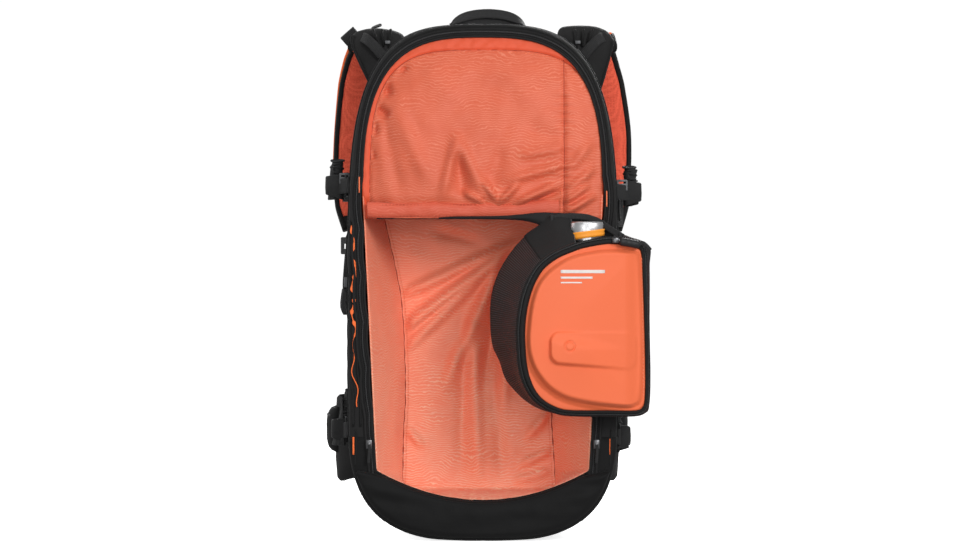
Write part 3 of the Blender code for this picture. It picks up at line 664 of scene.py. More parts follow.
def shell_rows():
    """Rings round the pack's body, from the opening's edge over the sides to the middle of the back."""
    def side_relief(angle, share):
        x, z = math.cos(angle) * 0.15, MIDDLE + math.sin(angle) * 0.25
        slack = math.sin(math.pi * share)
        broad = wander(x * 0.6, share * 0.12, z, 0.055) * 0.0042
        fine = wander(x, share * 0.10 + 1.7, z, 0.018) * 0.0016
        return slack * (broad + fine) - 0.0015 * slack

    rows = []
    for inward, depth in ((0.0, 0.0035), (0.0002, 0.0004), (0.0020, 0.0)):
        rows.append([around(a, OPENING(a) + inward, depth) for a in TURN])
    for share in (0.5, 1.0):
        rows.append([around(a, mix(OPENING(a) + 0.002, SIDE(a) - 0.005, share), 0.0) for a in TURN])
    for inward, depth in ((0.0030, 0.0006), (0.0012, 0.0028), (0.0003, 0.0065), (0.0, 0.0120)):
        rows.append([around(a, SIDE(a) - inward, depth) for a in TURN])
    for k in range(1, 27):
        share = k / 26
        row = []
        for a in TURN:
            start = around(a, SIDE(a), 0.0120)
            end = around(a, REAR(a), BACK - 0.012, from_front=False)
            point = start.lerp(end, share)
            out = Vector((math.cos(a), 0, math.sin(a)))
            low = smooth(0.02, 0.0, point.z)
            row.append(point + out * side_relief(a, share) * (1 - low))
        rows.append(row)
    for inward, depth in ((0.0015, 0.0075), (0.0040, 0.0035), (0.0080, 0.0010), (0.0130, 0.0)):
        rows.append([around(a, REAR(a) - inward, BACK - depth, from_front=False) for a in TURN])
    for share in (0.85, 0.7, 0.5, 0.3, 0.12, 0.002):
        rows.append([around(a, (REAR(a) - 0.013) * share, BACK, from_front=False) for a in TURN])
    return rows


def make_shell():
    rows = shell_rows()
    shell = grid("body_fabric", rows, M["shell"], wrap=True)
    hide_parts("body_shell")

    bm = bmesh.new()
    bm.from_mesh(shell.data)
    cut = bmesh.ops.bisect_plane(
        bm, geom=bm.verts[:] + bm.edges[:] + bm.faces[:], plane_co=(
            0, 0, BOOT_TOP
        ), plane_no=(0, 0, 1), clear_outer=True
    )
    rim = [e for e in cut["geom_cut"] if isinstance(e, bmesh.types.BMEdge)]
    edge_path = [v.co.copy() for v in sorted({v for e in rim for v in e.verts}, key=lambda v: v.co.y)]
    bm.normal_update()
    for vert in bm.verts:
        vert.co += vert.normal * 0.0009 * smooth(0.0, 0.004, vert.co.z)
    mesh = bpy.data.meshes.new("boot_fabric")
    bm.to_mesh(mesh)
    bm.free()
    boot = new_object("boot_fabric", mesh, M["boot"], "pack")
    solidified(boot, 0.0008)
    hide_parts("base_boot")

    piping = []
    for sign in (1, -1):
        side = [p for p in edge_path if p.x * sign > 0.10 and FRONT + 0.008 < p.y < BACK - 0.001]
        path = curve_through([p + Vector((sign * 0.0012, 0, 0)) for p in side], 60)
        piping.append(tube_rings(path, 0.0014, 8))
    joined("boot_piping", piping, M["tape"])

    lines = []
    for depth in (0.020, 0.160):
        path = []
        for a in TURN:
            start, end = around(a, SIDE(a), 0.0120), around(a, REAR(a), BACK - 0.012, from_front=False)
            share = (depth - 0.012) / 0.165
            point = start.lerp(end, share)
            if point.z > 0.02:
                path.append((a, point + Vector((math.cos(a), 0, math.sin(a))) * 0.0008))
        path.sort(key=lambda pair: (pair[0] + math.pi / 2) % math.tau)
        lines.append(tube_rings([p for _, p in path], 0.0013, 8))
    joined("side_piping", lines, M["tape"])


def rim_path(reach, lift):
    """A line round the opening's rim, that far outside its edge and proud of the body."""
    path = []
    for k in range(421):
        angle = math.radians(mix(-61.5, 241.5, k / 420))
        path.append(around(angle, min(OPENING(angle) + reach, SIDE(angle) - 0.002), -lift))
    return path


def make_zip():
    """The zip's tape, its coil, the bound edge of the opening and the seam outside them."""
    section = (
        (0.0004, 0.0002), (0.0008, 0.0013), (0.0050, 0.0015), (0.0070, 0.0015), (0.0112, 0.0014),
        (0.0126, 0.0007)
    )
    tape = grid("zip_tape", [rim_path(reach, lift) for reach, lift in section], M["tape"], flip=True)
    solidified(tape, 0.0006)
    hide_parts("main_zip_tape")

    center = spaced(rim_path(0.0058, 0.0022), 1500)
    radii = [0.0010 + 0.00035 * math.cos(math.tau * k / 3) for k in range(len(center))]
    joined("zip_coil", [tube_rings(center, radii, 6)], M["coil"])
    edges = []
    for reach, lift, radius in (
        (0.0006, 0.0010, 0.0014), (0.0030, 0.0018, 0.0006), (0.0088, 0.0018, 0.0006), (0.0128, 0.0010, 0.0017)
    ):
        edges.append(tube_rings(spaced(rim_path(reach, lift), 260), radius, 8))
    joined("rim_piping", edges, M["shell"])

    tacks = []
    for x, low, high in ((-0.1396, 0.394, 0.412), (0.1400, 0.378, 0.396)):
        path = [Vector((x, front_y(low) - 0.0028, mix(low, high, k / 6))) for k in range(7)]
        tacks.append(ribbon_rings(path, (1, 0, 0), 0.0016, 0.0008))
    joined("bar_tacks", tacks, M["orange_thread"])


def make_side_slits():
    """The orange edge of the side pockets' zips, which peeks out along the left rim."""
    def slit(x, z, lift):
        return seen(x, z, front_y(z) - lift)

    parts, path, widths = [], [], []
    for k in range(131):
        z = mix(0.152, 0.357, k / 130)
        sway = 0.0016 * math.sin(z * 190) + 0.0010 * math.sin(z * 83 + 1)
        path.append(slit(-0.1462 + sway + 0.0040 * smooth(0.20, 0.16, z), z, 0.0012))
        swell = max(math.sin(z * 420 + 1.6 * math.sin(z * 47)), 0.0) ** 0.7 * smooth(0.225, 0.250, z)
        gap = smooth(0.233, 0.228, z) * smooth(0.207, 0.212, z)
        widths.append((0.0013 + 0.0036 * swell) * (1 - 0.8 * gap))
    parts.append(ribbon_rings(path, (1, 0.15, 0), widths, 0.0010))
    for x, low, high, width in ((-0.1462, 0.098, 0.118, 0.0022), (0.1435, 0.098, 0.116, 0.0010)):
        tab = [slit(x, mix(low, high, k / 6), 0.0010) for k in range(7)]
        parts.append(ribbon_rings(tab, (1, 0, 0), width, 0.0012))
    joined("pocket_zip_edge", parts, M["orange_cord"])

    lips = []
    for offset in (-0.0040, 0.0042):
        path = [
            slit(
                -0.1462 + offset + 0.0040 * smooth(0.20, 0.16, z), z, 0.0008
            ) for z in np.linspace(0.130, 0.362, 60)
        ]
        lips.append(tube_rings(path, 0.0013, 8))
    for x in (-0.1440, 0.1440):
        path = [slit(x + 0.0010 * math.sin(z * 70), z, 0.0003) for z in np.linspace(0.086, 0.126, 24)]
        lips.append(tube_rings(path, 0.0010, 8))
    joined("pocket_zip_lips", lips, M["tape"])


# ---------------------------------------------------------------- lining, pouch and front panel


LINING_FOLDS = [
    ((0.020, 0.330), (-0.086, 0.281), 0.0060, 0.0034),
    ((0.018, 0.322), (-0.086, 0.243), 0.0065, 0.0048),
    ((0.010, 0.310), (-0.082, 0.222), 0.0060, 0.0034),
    ((0.024, 0.322), (-0.036, 0.190), 0.0075, 0.0046),
    ((0.026, 0.318), (0.000, 0.180), 0.0080, -0.0050),
    ((0.040, 0.310), (0.020, 0.150), 0.0080, 0.0040),
    ((-0.022, 0.235), (-0.024, 0.095), 0.0070, -0.0022),
    ((-0.008, 0.225), (-0.006, 0.090), 0.0070, 0.0026),
    ((0.014, 0.215), (0.020, 0.085), 0.0080, -0.0024),
    ((0.052, 0.120), (0.078, 0.150), 0.0050, 0.0030),
    ((0.046, 0.088), (0.078, 0.104), 0.0045, 0.0026),
    ((0.040, 0.070), (0.074, 0.080), 0.0040, 0.0020),
    ((-0.070, 0.110), (-0.088, 0.130), 0.0040, 0.0020),
    ((-0.050, 0.350), (-0.010, 0.340), 0.0060, -0.0018),
]


def lining_seams(z):
    """Where the side walls of the compartment meet its back, as seen from the front, left and right."""
    heights = [0.040, 0.070, 0.125, 0.157, 0.193, 0.243, 0.279, 0.318, 0.365, 0.400]
    left = [-0.091, -0.091, -0.090, -0.088, -0.088, -0.090, -0.093, -0.101, -0.112, -0.118]
    return float(np.interp(z, heights, left)), mix(0.0825, 0.078, smooth(0.06, 0.15, z))


def lining_point(u, z):
    """A point of the lining. u runs from -2 at the opening's left edge to 2, with seams at -1 and 1."""
    back = 0.034
    left, right = lining_seams(z)
    if z >= OPENING_FOOT[1]:
        edge = opening_x(z) - 0.0004
    else:
        edge = OPENING_FOOT[0] * math.sqrt(max(z - SMILE_LOW, 0) / (OPENING_FOOT[1] - SMILE_LOW))
    low = smooth(SMILE_LOW, SMILE_LOW + 0.014, z)
    deep = mix(FRONT + 0.004, back, low)
    if abs(u) <= 1:
        x = mix(left, right, (u + 1) / 2)
        x = max(min(x, edge), -edge)
        near_seam = smooth(0.0, 0.012, min(x - left, right - x))
        lift = 3.2 * crease(x, z, LINING_FOLDS) * near_seam
        lift += wander(x, 3.1, z * 1.5, 0.022) * 0.0013 + wander(x, 5.2, z, 0.060) * 0.0040
        lift += 0.0030 * smooth(0.0, 0.03, min(x - left, right - x))
        return seen(x, z, deep - lift * low)
    side = -1 if u < 0 else 1
    share = abs(u) - 1
    seam = left if side < 0 else right
    x = mix(seam, side * edge, share)
    x = max(min(x, edge), -edge)
    y = mix(deep, front_y(z) + 0.0015, share**1.15)
    sag = 0.006 * math.sin(math.pi * share)
    pucker = 0.0016 * math.sin(z * 420 + share * 5 + side) * math.exp(-share * 3.0) * (
        0.35 + abs(wander(x, 8.0, z, 0.05))
    )
    pleat = wander(share * 0.05, side * 4.0, z * 1.2, 0.016) * 0.0016 * math.sin(math.pi * share)
    where = seen(x, z, y) if share < 0.98 else Vector((x, y, z))
    return where + Vector((-side * (0.10 * sag), -(sag * 0.4 + pucker + pleat), 0))


def make_lining():
    heights = [SMILE_LOW + 0.0003 + 0.034 * (k / 16) ** 1.6 for k in range(16)]
    heights += list(np.linspace(0.080, 0.392, 150))
    places = list(np.linspace(-2, -1, 26)) + list(np.linspace(-1, 1, 92))[1:-1] + list(np.linspace(1, 2, 26))
    rows = [[lining_point(u, z) for u in places] for z in heights]
    lining = grid("compartment_lining", rows, M["deep_lining_painted_light"])
    solidified(lining, 0.0010, 1.0)
    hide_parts("main_lining")

    seams, threads = [], []
    for u, side in ((-1.0, -1), (1.0, 1)):
        path = [lining_point(u, z) + Vector((0, -0.0012, 0)) for z in np.linspace(0.064, 0.372, 120)]
        wave = [p + Vector((0.0003 * math.sin(k * 0.9), 0, 0)) for k, p in enumerate(path)]
        seams.append(tube_rings(wave, 0.0011, 6))
        beside = [p + Vector((side * -0.0042, -0.0016, 0)) for p in path]
        threads += stitch_parts(beside, (0, -1, 0))
    joined("lining_seams", seams, M["dark_thread"])
    joined("lining_stitches", threads, M["orange_thread"])


POUCH_FOLDS = [
    ((-0.030, 0.452), (-0.044, 0.394), 0.0060, 0.0032),
    ((-0.026, 0.450), (-0.002, 0.398), 0.0070, 0.0030),
    ((-0.028, 0.430), (-0.022, 0.392), 0.0080, -0.0030),
    ((-0.093, 0.478), (-0.064, 0.412), 0.0090, 0.0024),
    ((-0.110, 0.470), (-0.096, 0.400), 0.0080, -0.0020),
    ((-0.020, 0.394), (-0.002, 0.384), 0.0030, 0.0030),
    ((0.001, 0.406), (0.014, 0.388), 0.0034, 0.0032),
    ((0.038, 0.402), (0.019, 0.383), 0.0036, 0.0036),
    ((0.077, 0.400), (0.040, 0.383), 0.0036, 0.0040),
    ((0.088, 0.396), (0.056, 0.384), 0.0030, -0.0030),
    ((0.088, 0.424), (0.030, 0.408), 0.0050, 0.0030),
    ((0.088, 0.444), (0.046, 0.436), 0.0055, 0.0022),
    ((0.094, 0.384), (0.116, 0.400), 0.0036, 0.0036),
    ((0.094, 0.372), (0.126, 0.390), 0.0036, 0.0040),
    ((0.096, 0.396), (0.124, 0.420), 0.0045, 0.0026),
    ((0.098, 0.420), (0.120, 0.448), 0.0050, 0.0018),
    ((-0.060, 0.530), (-0.030, 0.500), 0.0120, 0.0014),
    ((0.020, 0.535), (0.060, 0.500), 0.0140, 0.0016),
    ((0.050, 0.470), (0.084, 0.452), 0.0110, -0.0020),
    ((0.020, 0.440), (0.010, 0.404), 0.0100, -0.0022),
]
# The dark hollows just inside the arched seam.
POUCH_DIMPLES = [
    ((-0.096, 0.541), (-0.088, 0.533), 0.0050, 0.0060),
    ((-0.114, 0.521), (-0.107, 0.505), 0.0060, 0.0090),
    ((-0.121, 0.490), (-0.108, 0.481), 0.0060, 0.0090),
    ((-0.127, 0.474), (-0.122, 0.460), 0.0050, 0.0075),
    ((-0.1275, 0.442), (-0.1245, 0.432), 0.0040, 0.0055),
]
POUCH_SEAM_X = 0.092
HEM_HIGH = 0.3820
HEM_LOW = 0.3660


def pouch_edge(z):
    """Half the opening's width at a height."""
    if z < OPENING_SIDE[1]:
        return opening_x(z)
    share = min((z - OPENING_SIDE[1]) / (OPENING_TOP - OPENING_SIDE[1]), 1.0)
    return OPENING_SIDE[0] * max(1 - share**3, 0.0) ** (1 / 3)


def arch_seam(x, z):
    """How far a point is inside the pouch's arched seam, negative outside it."""
    if z < OPENING_SIDE[1]:
        return (0.128 if x < 0 else 0.1345) - abs(x)
    wide = 0.128 if x < 0 else 0.1355
    tall = 0.557 - OPENING_SIDE[1]
    a, b = abs(x) / wide, (z - OPENING_SIDE[1]) / tall
    share = (a**3.6 + b**3.6) ** (1 / 3.6)
    reach = math.hypot(x, z - OPENING_SIDE[1])
    return (1 - share) * reach / max(share, 0.05)


def pouch_point(x, z):
    """The pouch's surface, which stands out of the opening inside its arched seam."""
    inside = arch_seam(x, z)
    swell = 0.0085 * smooth(-0.001, 0.030, inside) + 0.0030 * smooth(0.0, 0.090, inside)
    swell -= 0.0022 * math.exp(-((inside / 0.0016) ** 2))
    pucker = wander(x * 1.2, 2.0, z * 1.2, 0.010) * 0.0012 * math.exp(-((max(inside, 0) / 0.014) ** 2))
    seam = abs(x - POUCH_SEAM_X)
    dip = 0.0034 * math.exp(-((seam / 0.0028) ** 2)) * smooth(0.550, 0.535, z)
    gather = 0.0010 * math.sin(z * 520 + 2 * math.sin(z * 90)) * math.exp(-((seam / 0.010) ** 2))
    folds = 2.2 * crease(x, z, POUCH_FOLDS)
    broad = wander(x, 7.5, z, 0.060) * 0.0036 + wander(x * 1.4, 1.5, z, 0.022) * 0.0011
    free = smooth(0.0, 0.020, inside)
    hem = 0.0050 * smooth(0.392, 0.378, z) * (1 - smooth(POUCH_SEAM_X - 0.006, POUCH_SEAM_X + 0.004, x))
    dimples = crease(x, z, POUCH_DIMPLES) * smooth(0.0, 0.005, inside)
    lift = swell + pucker - dip + gather * free + folds * free + broad * free - dimples - hem
    return Vector((x, front_y(z) + 0.0016 - lift, z))


def make_pouch():
    heights = list(np.linspace(0.3650, 0.520, 96)) + list(
        0.520 + (OPENING_TOP - 0.0006 - 0.520) * np.sin(np.linspace(0.02, math.pi / 2, 44))
    )
    rows = []
    for z in heights:
        edge = pouch_edge(z) + 0.0004
        spread = np.linspace(-1, 1, 171)
        rows.append([pouch_point(edge * u, z) for u in spread])
    pouch = grid("airbag_pouch", rows, M["lining"])
    pouch.data.materials.append(M["plain_lining"])
    for face in pouch.data.polygons:
        if arch_seam(face.center.x, face.center.z) < 0:
            face.material_index = 1
    solidified(pouch, 0.0008, 1.0)
    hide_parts("pouch_panel", "folded_airbag")

    arch = []
    for k in range(150):
        angle = math.radians(mix(186, -2, k / 149))
        wide = 0.128 if math.cos(angle) < 0 else 0.1355
        share = 2 / 3.6
        x = math.copysign(wide * abs(math.cos(angle)) ** share, math.cos(angle))
        z = OPENING_SIDE[1] + (0.557 - OPENING_SIDE[1]) * abs(math.sin(angle)) ** share
        if math.sin(angle) < 0:
            z = OPENING_SIDE[1] - 0.1 * abs(math.sin(angle))
        arch.append(pouch_point(x, z) + Vector((0, -0.0004, 0)))
    down = [pouch_point(POUCH_SEAM_X, z) + Vector((0, -0.0004, 0)) for z in np.linspace(0.546, 0.368, 90)]
    joined(
        "pouch_seams", [tube_rings(arch, 0.0009, 6), tube_rings(down, 0.0009, 6)], M["dark_thread"],
    )
    threads = stitch_parts([p + Vector((-0.0034, -0.0022, 0)) for p in down], (0, -1, 0))
    inner = [pouch_point(p.x * 0.985, OPENING_SIDE[1] + (p.z - OPENING_SIDE[1]) * 0.985) for p in arch[4:-4]]
    threads += stitch_parts([p + Vector((0, -0.0004, 0)) for p in inner], (0, -1, 0))
    joined("pouch_stitches", threads, M["orange_thread"])


def make_hem():
    """The pouch's hem, a stitched casing that closes its lower edge."""
    rows = []
    spread = np.linspace(-0.1305, 0.0860, 150)
    for share, out in (
        (0.0, -0.0030), (0.03, 0.0), (0.10, 0.0018), (0.3, 0.0030), (0.5, 0.0034), (0.7, 0.0030),
        (0.9, 0.0020), (0.97, 0.0004), (1.0, -0.0030)
    ):
        row = []
        for x in spread:
            rise = 0.0035 * smooth(0.020, 0.084, x)
            low = HEM_LOW + rise * 0.6 + 0.0005 * math.sin(x * 130)
            high = HEM_HIGH + rise + 0.0010 * math.sin(x * 96 + 1.0)
            ripple = wander(x, 6.0, share * 0.02, 0.011) * 0.0013 * math.sin(math.pi * share)
            row.append(Vector((x, FRONT - 0.0022 - out - ripple, mix(low, high, share))))
        rows.append(row)
    hem = grid("pouch_hem_band", rows, M["hem"])
    solidified(hem, 0.0008, 1.0)
    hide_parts("pouch_hem")
    threads = []
    for share, out in ((0.10, 0.0022), (0.88, 0.0024)):
        path = [
            Vector(
                (x, FRONT - 0.0022 - out, mix(HEM_LOW, HEM_HIGH, share) + 0.0020 * smooth(0.02, 0.084, x))
            ) for x in spread
        ]
        threads += stitch_parts(path, (0, -1, 0))
    joined("hem_stitches", threads, M["dark_thread"])


def make_front_panel():
    """The front panel folded down on itself: a smooth rolled edge along the smile, slack cloth below."""
    places = np.linspace(-1, 1, 161)
    rows = []
    shares = [0.0, 0.006, 0.02, 0.05, 0.09] + list(np.linspace(0.14, 0.93, 34)) + [0.96, 0.985, 1.0]
    for share in shares:
        row = []
        for u in places:
            angle = math.radians(mix(-124.0, -56.0, (u + 1) / 2))
            side = SIDE(angle) - 0.0035
            bottom = around(angle, side, 0.0)
            x_top = OPENING_FOOT[0] * 1.0 * math.copysign(abs(u) ** 0.95, u)
            top = Vector((x_top, 0, smile_z(x_top) - 0.0006))
            if abs(u) > 0.86:
                corner = smooth(0.86, 1.0, abs(u))
                top = top.lerp(Vector((math.copysign(0.1415, u), 0, 0.0800)), corner)
            x, z = mix(top.x, bottom.x, share), mix(top.z, bottom.z, share)
            roll = 0.0065 * math.sqrt(max(1 - (1 - min(share / 0.12, 1)) ** 2, 0))
            edge = 0.0058 * (1 - math.sqrt(max(1 - smooth(0.80, 1.0, share) ** 2, 0)))
            slack = math.sin(math.pi * min(share * 1.1, 1))
            folds = wander(x * 0.5, 4.0, z * 1.6, 0.040) * 0.0042 + wander(x, 9.0, z, 0.014) * 0.0009
            folds += 0.0017 * math.sin(z * 260 + 8 * x) * smooth(0.35, 0.85, abs(u))
            lift = 0.0010 + roll + 0.0030 * slack - edge + folds * slack
            row.append(Vector((x, FRONT - lift, max(z, 0.0042))))
        rows.append(row)
    panel = grid("front_panel_fabric", rows, M["boot"], "front_panel", flip=True)
    solidified(panel, 0.0012, -1.0)
    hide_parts("front_panel")
    hem = [p + Vector((0, -0.0006, -0.0006)) for p in rows[3]]
    joined(
        "front_panel_piping", [tube_rings(hem[8:-8], 0.0006, 6)], M["tape"], "front_panel",
    )


# ---------------------------------------------------------------- pod


LID_EDGE_X, LID_PLANE_Y, LID_TILT = 0.184, -0.128, math.radians(18)
LID_MIDDLE = (0.118, 0.240)
# The lid's orange edge and the edge of its raised middle, as the camera sees them.
LID_EDGE = [
    (0.147, 0.3375), (0.1175, 0.3335), (0.100, 0.328), (0.083, 0.3205), (0.069, 0.310), (0.0606, 0.298),
    (0.0537, 0.2825), (0.0486, 0.262), (0.0463, 0.241), (0.0466, 0.220), (0.0486, 0.198), (0.0546, 0.177),
    (0.0655, 0.161), (0.083, 0.1505), (0.101, 0.1472), (0.140, 0.147), (0.172, 0.147), (0.1812, 0.1515),
    (0.184, 0.163), (0.1843, 0.200), (0.1832, 0.250), (0.1815, 0.300), (0.1800, 0.325), (0.1745, 0.3325),
]  # fmt: skip
LID_PLATEAU = [
    (0.1709, 0.326), (0.1446, 0.3277), (0.1215, 0.3252), (0.1018, 0.3203), (0.0887, 0.3137), (0.0755, 0.3039),
    (0.0657, 0.2923), (0.0599, 0.2792), (0.0558, 0.2628), (0.0533, 0.243), (0.0525, 0.2266), (0.0541, 0.2118),
    (0.0591, 0.197), (0.0673, 0.1839), (0.0788, 0.1723), (0.0952, 0.1633), (0.115, 0.1584), (0.138, 0.1551),
    (0.161, 0.1530), (0.1715, 0.1550), (0.1775, 0.164), (0.1795, 0.210), (0.1785, 0.2595), (0.1765, 0.3088),
    (0.1750, 0.3220),
]  # fmt: skip
POD_NEAR = [
    (0.187, 0.334), (0.162, 0.3445), (0.140, 0.355), (0.120, 0.363), (0.098, 0.368), (0.079, 0.3685),
    (0.066, 0.357), (0.050, 0.3455), (0.036, 0.331), (0.024, 0.3136), (0.0156, 0.296), (0.0104, 0.276),
    (0.0092, 0.250), (0.0118, 0.222), (0.0195, 0.2045), (0.0252, 0.187), (0.032, 0.1765), (0.0486, 0.160),
    (0.069, 0.149), (0.1006, 0.1427), (0.140, 0.1420), (0.172, 0.1425), (0.183, 0.146), (0.187, 0.154),
    (0.1875, 0.200), (0.1875, 0.260), (0.1875, 0.310),
]  # fmt: skip


def closed_curve(points, count):
    """count evenly spaced points on a smooth closed curve."""
    points = [Vector(p) for p in points]
    fine = []
    for i in range(len(points)):
        a, b, c, d = (points[(i + k) % len(points)] for k in (-1, 0, 1, 2))
        for k in range(12):
            t = k / 12
            fine.append(
                0.5 * (
                    2 * b + (c - a) * t + (2 * a - 5 * b + 4 * c - d) * t**2 + (3 * b - a - 3 * c + d) * t**3
                )
            )
    return spaced(fine + [fine[0]], count + 1)[:-1]


def outwards(outline):
    """Each point's outward direction on a closed outline that runs anticlockwise."""
    made = []
    for i in range(len(outline)):
        run = outline[(i + 2) % len(outline)] - outline[i - 2]
        made.append(Vector((run.y, -run.x)).normalized())
    return made


class Distance:
    """The signed distance to a closed outline, negative inside it."""

    def __init__(self, outline):
        self.points = np.array([tuple(p) for p in outline])
        middle = self.points.mean(axis=0)
        self.middle = middle
        self.radial_angles, self.radial = zip(
            *sorted(
                (math.atan2(z - middle[1], x - middle[0]), math.hypot(x - middle[0], z - middle[1])) for x,
                z in self.points
            )
        )

    def __call__(self, x, z):
        near = float(np.min(np.hypot(self.points[:, 0] - x, self.points[:, 1] - z)))
        dx, dz = x - self.middle[0], z - self.middle[1]
        reach = np.interp(math.atan2(dz, dx), self.radial_angles, self.radial, period=math.tau)
        return near if math.hypot(dx, dz) > reach else -near


LID_RING = closed_curve(LID_EDGE, 260)
PLATEAU = Distance(closed_curve(LID_PLATEAU, 700))


def lid_at(x, z, lift):
    """The point at that lift off the zip's plane which the camera sees at (x, z)."""
    c, s = math.cos(LID_TILT), math.sin(LID_TILT)
    off = x - EYE.x
    start_x, start_y = LID_EDGE_X + lift * s, LID_PLANE_Y - lift * c
    along = (start_x - EYE.x - off * (start_y - EYE.y) / CAMERA_GAP) / (c - off * s / CAMERA_GAP)
    y = start_y - along * s
    return Vector((start_x - along * c, y, EYE.z + (z - EYE.z) * (y - EYE.y) / CAMERA_GAP))


def lid_lift(x, z):
    """The moulded relief of the lid: border, raised middle, raised bar and a plain sunk ring."""
    inside = -PLATEAU(x, z)
    right = smooth(0.160, 0.176, x)
    left = smooth(0.110, 0.050, x) + smooth(0.185, 0.150, z) * smooth(0.175, 0.120, x)
    lift = 0.0022 - mix(0.0, 0.0034, min(left, 1.0)) * smooth(-0.0015, -0.0085, inside)
    lift += mix(0.0084, 0.0040, right) * smooth(-0.0034, 0.0026, inside)
    lift += 0.0026 * smooth(0.0, 0.060, inside)
    low = 0.2005 - 0.006 * (x - 0.09) / 0.075
    dx, dz = abs(x - 0.1250) - 0.0485 + 0.0110, abs(z - (low + 0.2365) / 2) - (0.2365 - low) / 2 + 0.0110
    bar = math.hypot(max(dx, 0), max(dz, 0)) + min(max(dx, dz), 0) - 0.0110
    fade = 1 - 0.85 * smooth(0.095, 0.168, x + (0.05 * smooth(0.215, 0.235, z)))
    lift += 0.0068 * smooth(0.0018, -0.0018, bar) * fade
    ring = abs(math.hypot(x - 0.0985, z - 0.2205) - 0.0056)
    lift -= 0.0016 * smooth(0.0013, 0.0004, ring)
    return lift


def lid_surface(x, z, extra=0.0):
    return lid_at(x, z, lid_lift(x, z) + extra)


LID_SEAM_X = 0.1812


def make_pod_lid():
    middle = Vector(LID_MIDDLE)
    shares = [0.004] + list(np.linspace(0.03, 0.90, 58)) + list(np.linspace(0.905, 0.985, 18)) + [0.992, 1.0]
    rows = []
    for share in (0.004, 0.35, 0.7, 0.93, 1.0):
        rows.append(
            [
                lid_at(
                    *middle.lerp(p, share), lid_lift(*middle.lerp(p, share)) * 0.6 - 0.0012
                ) for p in LID_RING
            ]
        )
    for share in reversed(shares):
        row = []
        for p in LID_RING:
            x, z = middle.lerp(p, share)
            tuck = 0.0012 * smooth(0.975, 1.0, share)
            row.append(lid_at(x, z, lid_lift(x, z) - tuck))
        rows.append(row)
    lid = grid("pod_lid_shell", rows, M["lid"], "pod_lid", wrap=True, caps=True)
    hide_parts("pod_lid")

    bars = []
    for x0, x1, z0, z1 in (
        (0.0880, 0.1380, 0.3030, 0.3068), (0.0880, 0.1240, 0.2968, 0.2992), (0.0880, 0.1120, 0.2916, 0.2932)
    ):
        path = [lid_surface(x, (z0 + z1) / 2, 0.0002) for x in np.linspace(x0, x1, 14)]
        bars.append(ribbon_rings(path, (0, 0, 1), z1 - z0, 0.0003))
    joined("plain_bars", bars, M["print"], "pod_lid")

    path = [
        lid_surface(
            LID_SEAM_X - 0.0016 * smooth(0.20, 0.325, z), z, 0.0003
        ) for z in np.linspace(0.164, 0.322, 60)
    ]
    joined(
        "lid_stitches", stitch_parts(path, (0, -1, 0)), M["pale_thread"], "pod_lid"
    )

    # The bound edge, with the zip's tape outside it.
    normals = outwards(LID_RING)
    widths = [
        0.0080 * max(-n.x, 0) ** 2 + 0.0042 * max(n.x, 0) ** 2 + 0.0070 * max(n.y, 0) ** 2 + 0.0050 * max(
            -n.y, 0
        ) ** 2
        for n in normals
    ]

    def ring(out, lift, share=True):
        return [
            lid_at(*(p + n * (out * w if share else out)), lift) for p, n, w in zip(LID_RING, normals, widths)
        ]

    section = [
        (-0.22, 0.0016), (-0.10, 0.0040), (0.10, 0.0048), (0.32, 0.0046), (0.48, 0.0032), (0.53, 0.0012),
        (0.60, 0.0008), (0.85, 0.0008), (0.97, 0.0002), (1.0, -0.0012), (0.96, -0.0038), (0.50, -0.0044),
        (0.0, -0.0040), (-0.20, -0.0010), (-0.22, 0.0016),
    ]  # fmt: skip
    binding = grid("lid_binding", [ring(*p) for p in section], M["tape"], "pod_lid", wrap=True)
    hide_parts("pod_lid_binding")
    path = ring(0.70, 0.0010)
    coil_path = spaced(path + [path[0]], 520)
    radii = [0.0007 + 0.00025 * math.cos(math.tau * k / 3) for k in range(len(coil_path))]
    joined("pod_zip_coil", [tube_rings(coil_path, radii, 6)], M["coil"], "pod_lid")
    return ring(0.94, -0.0036)


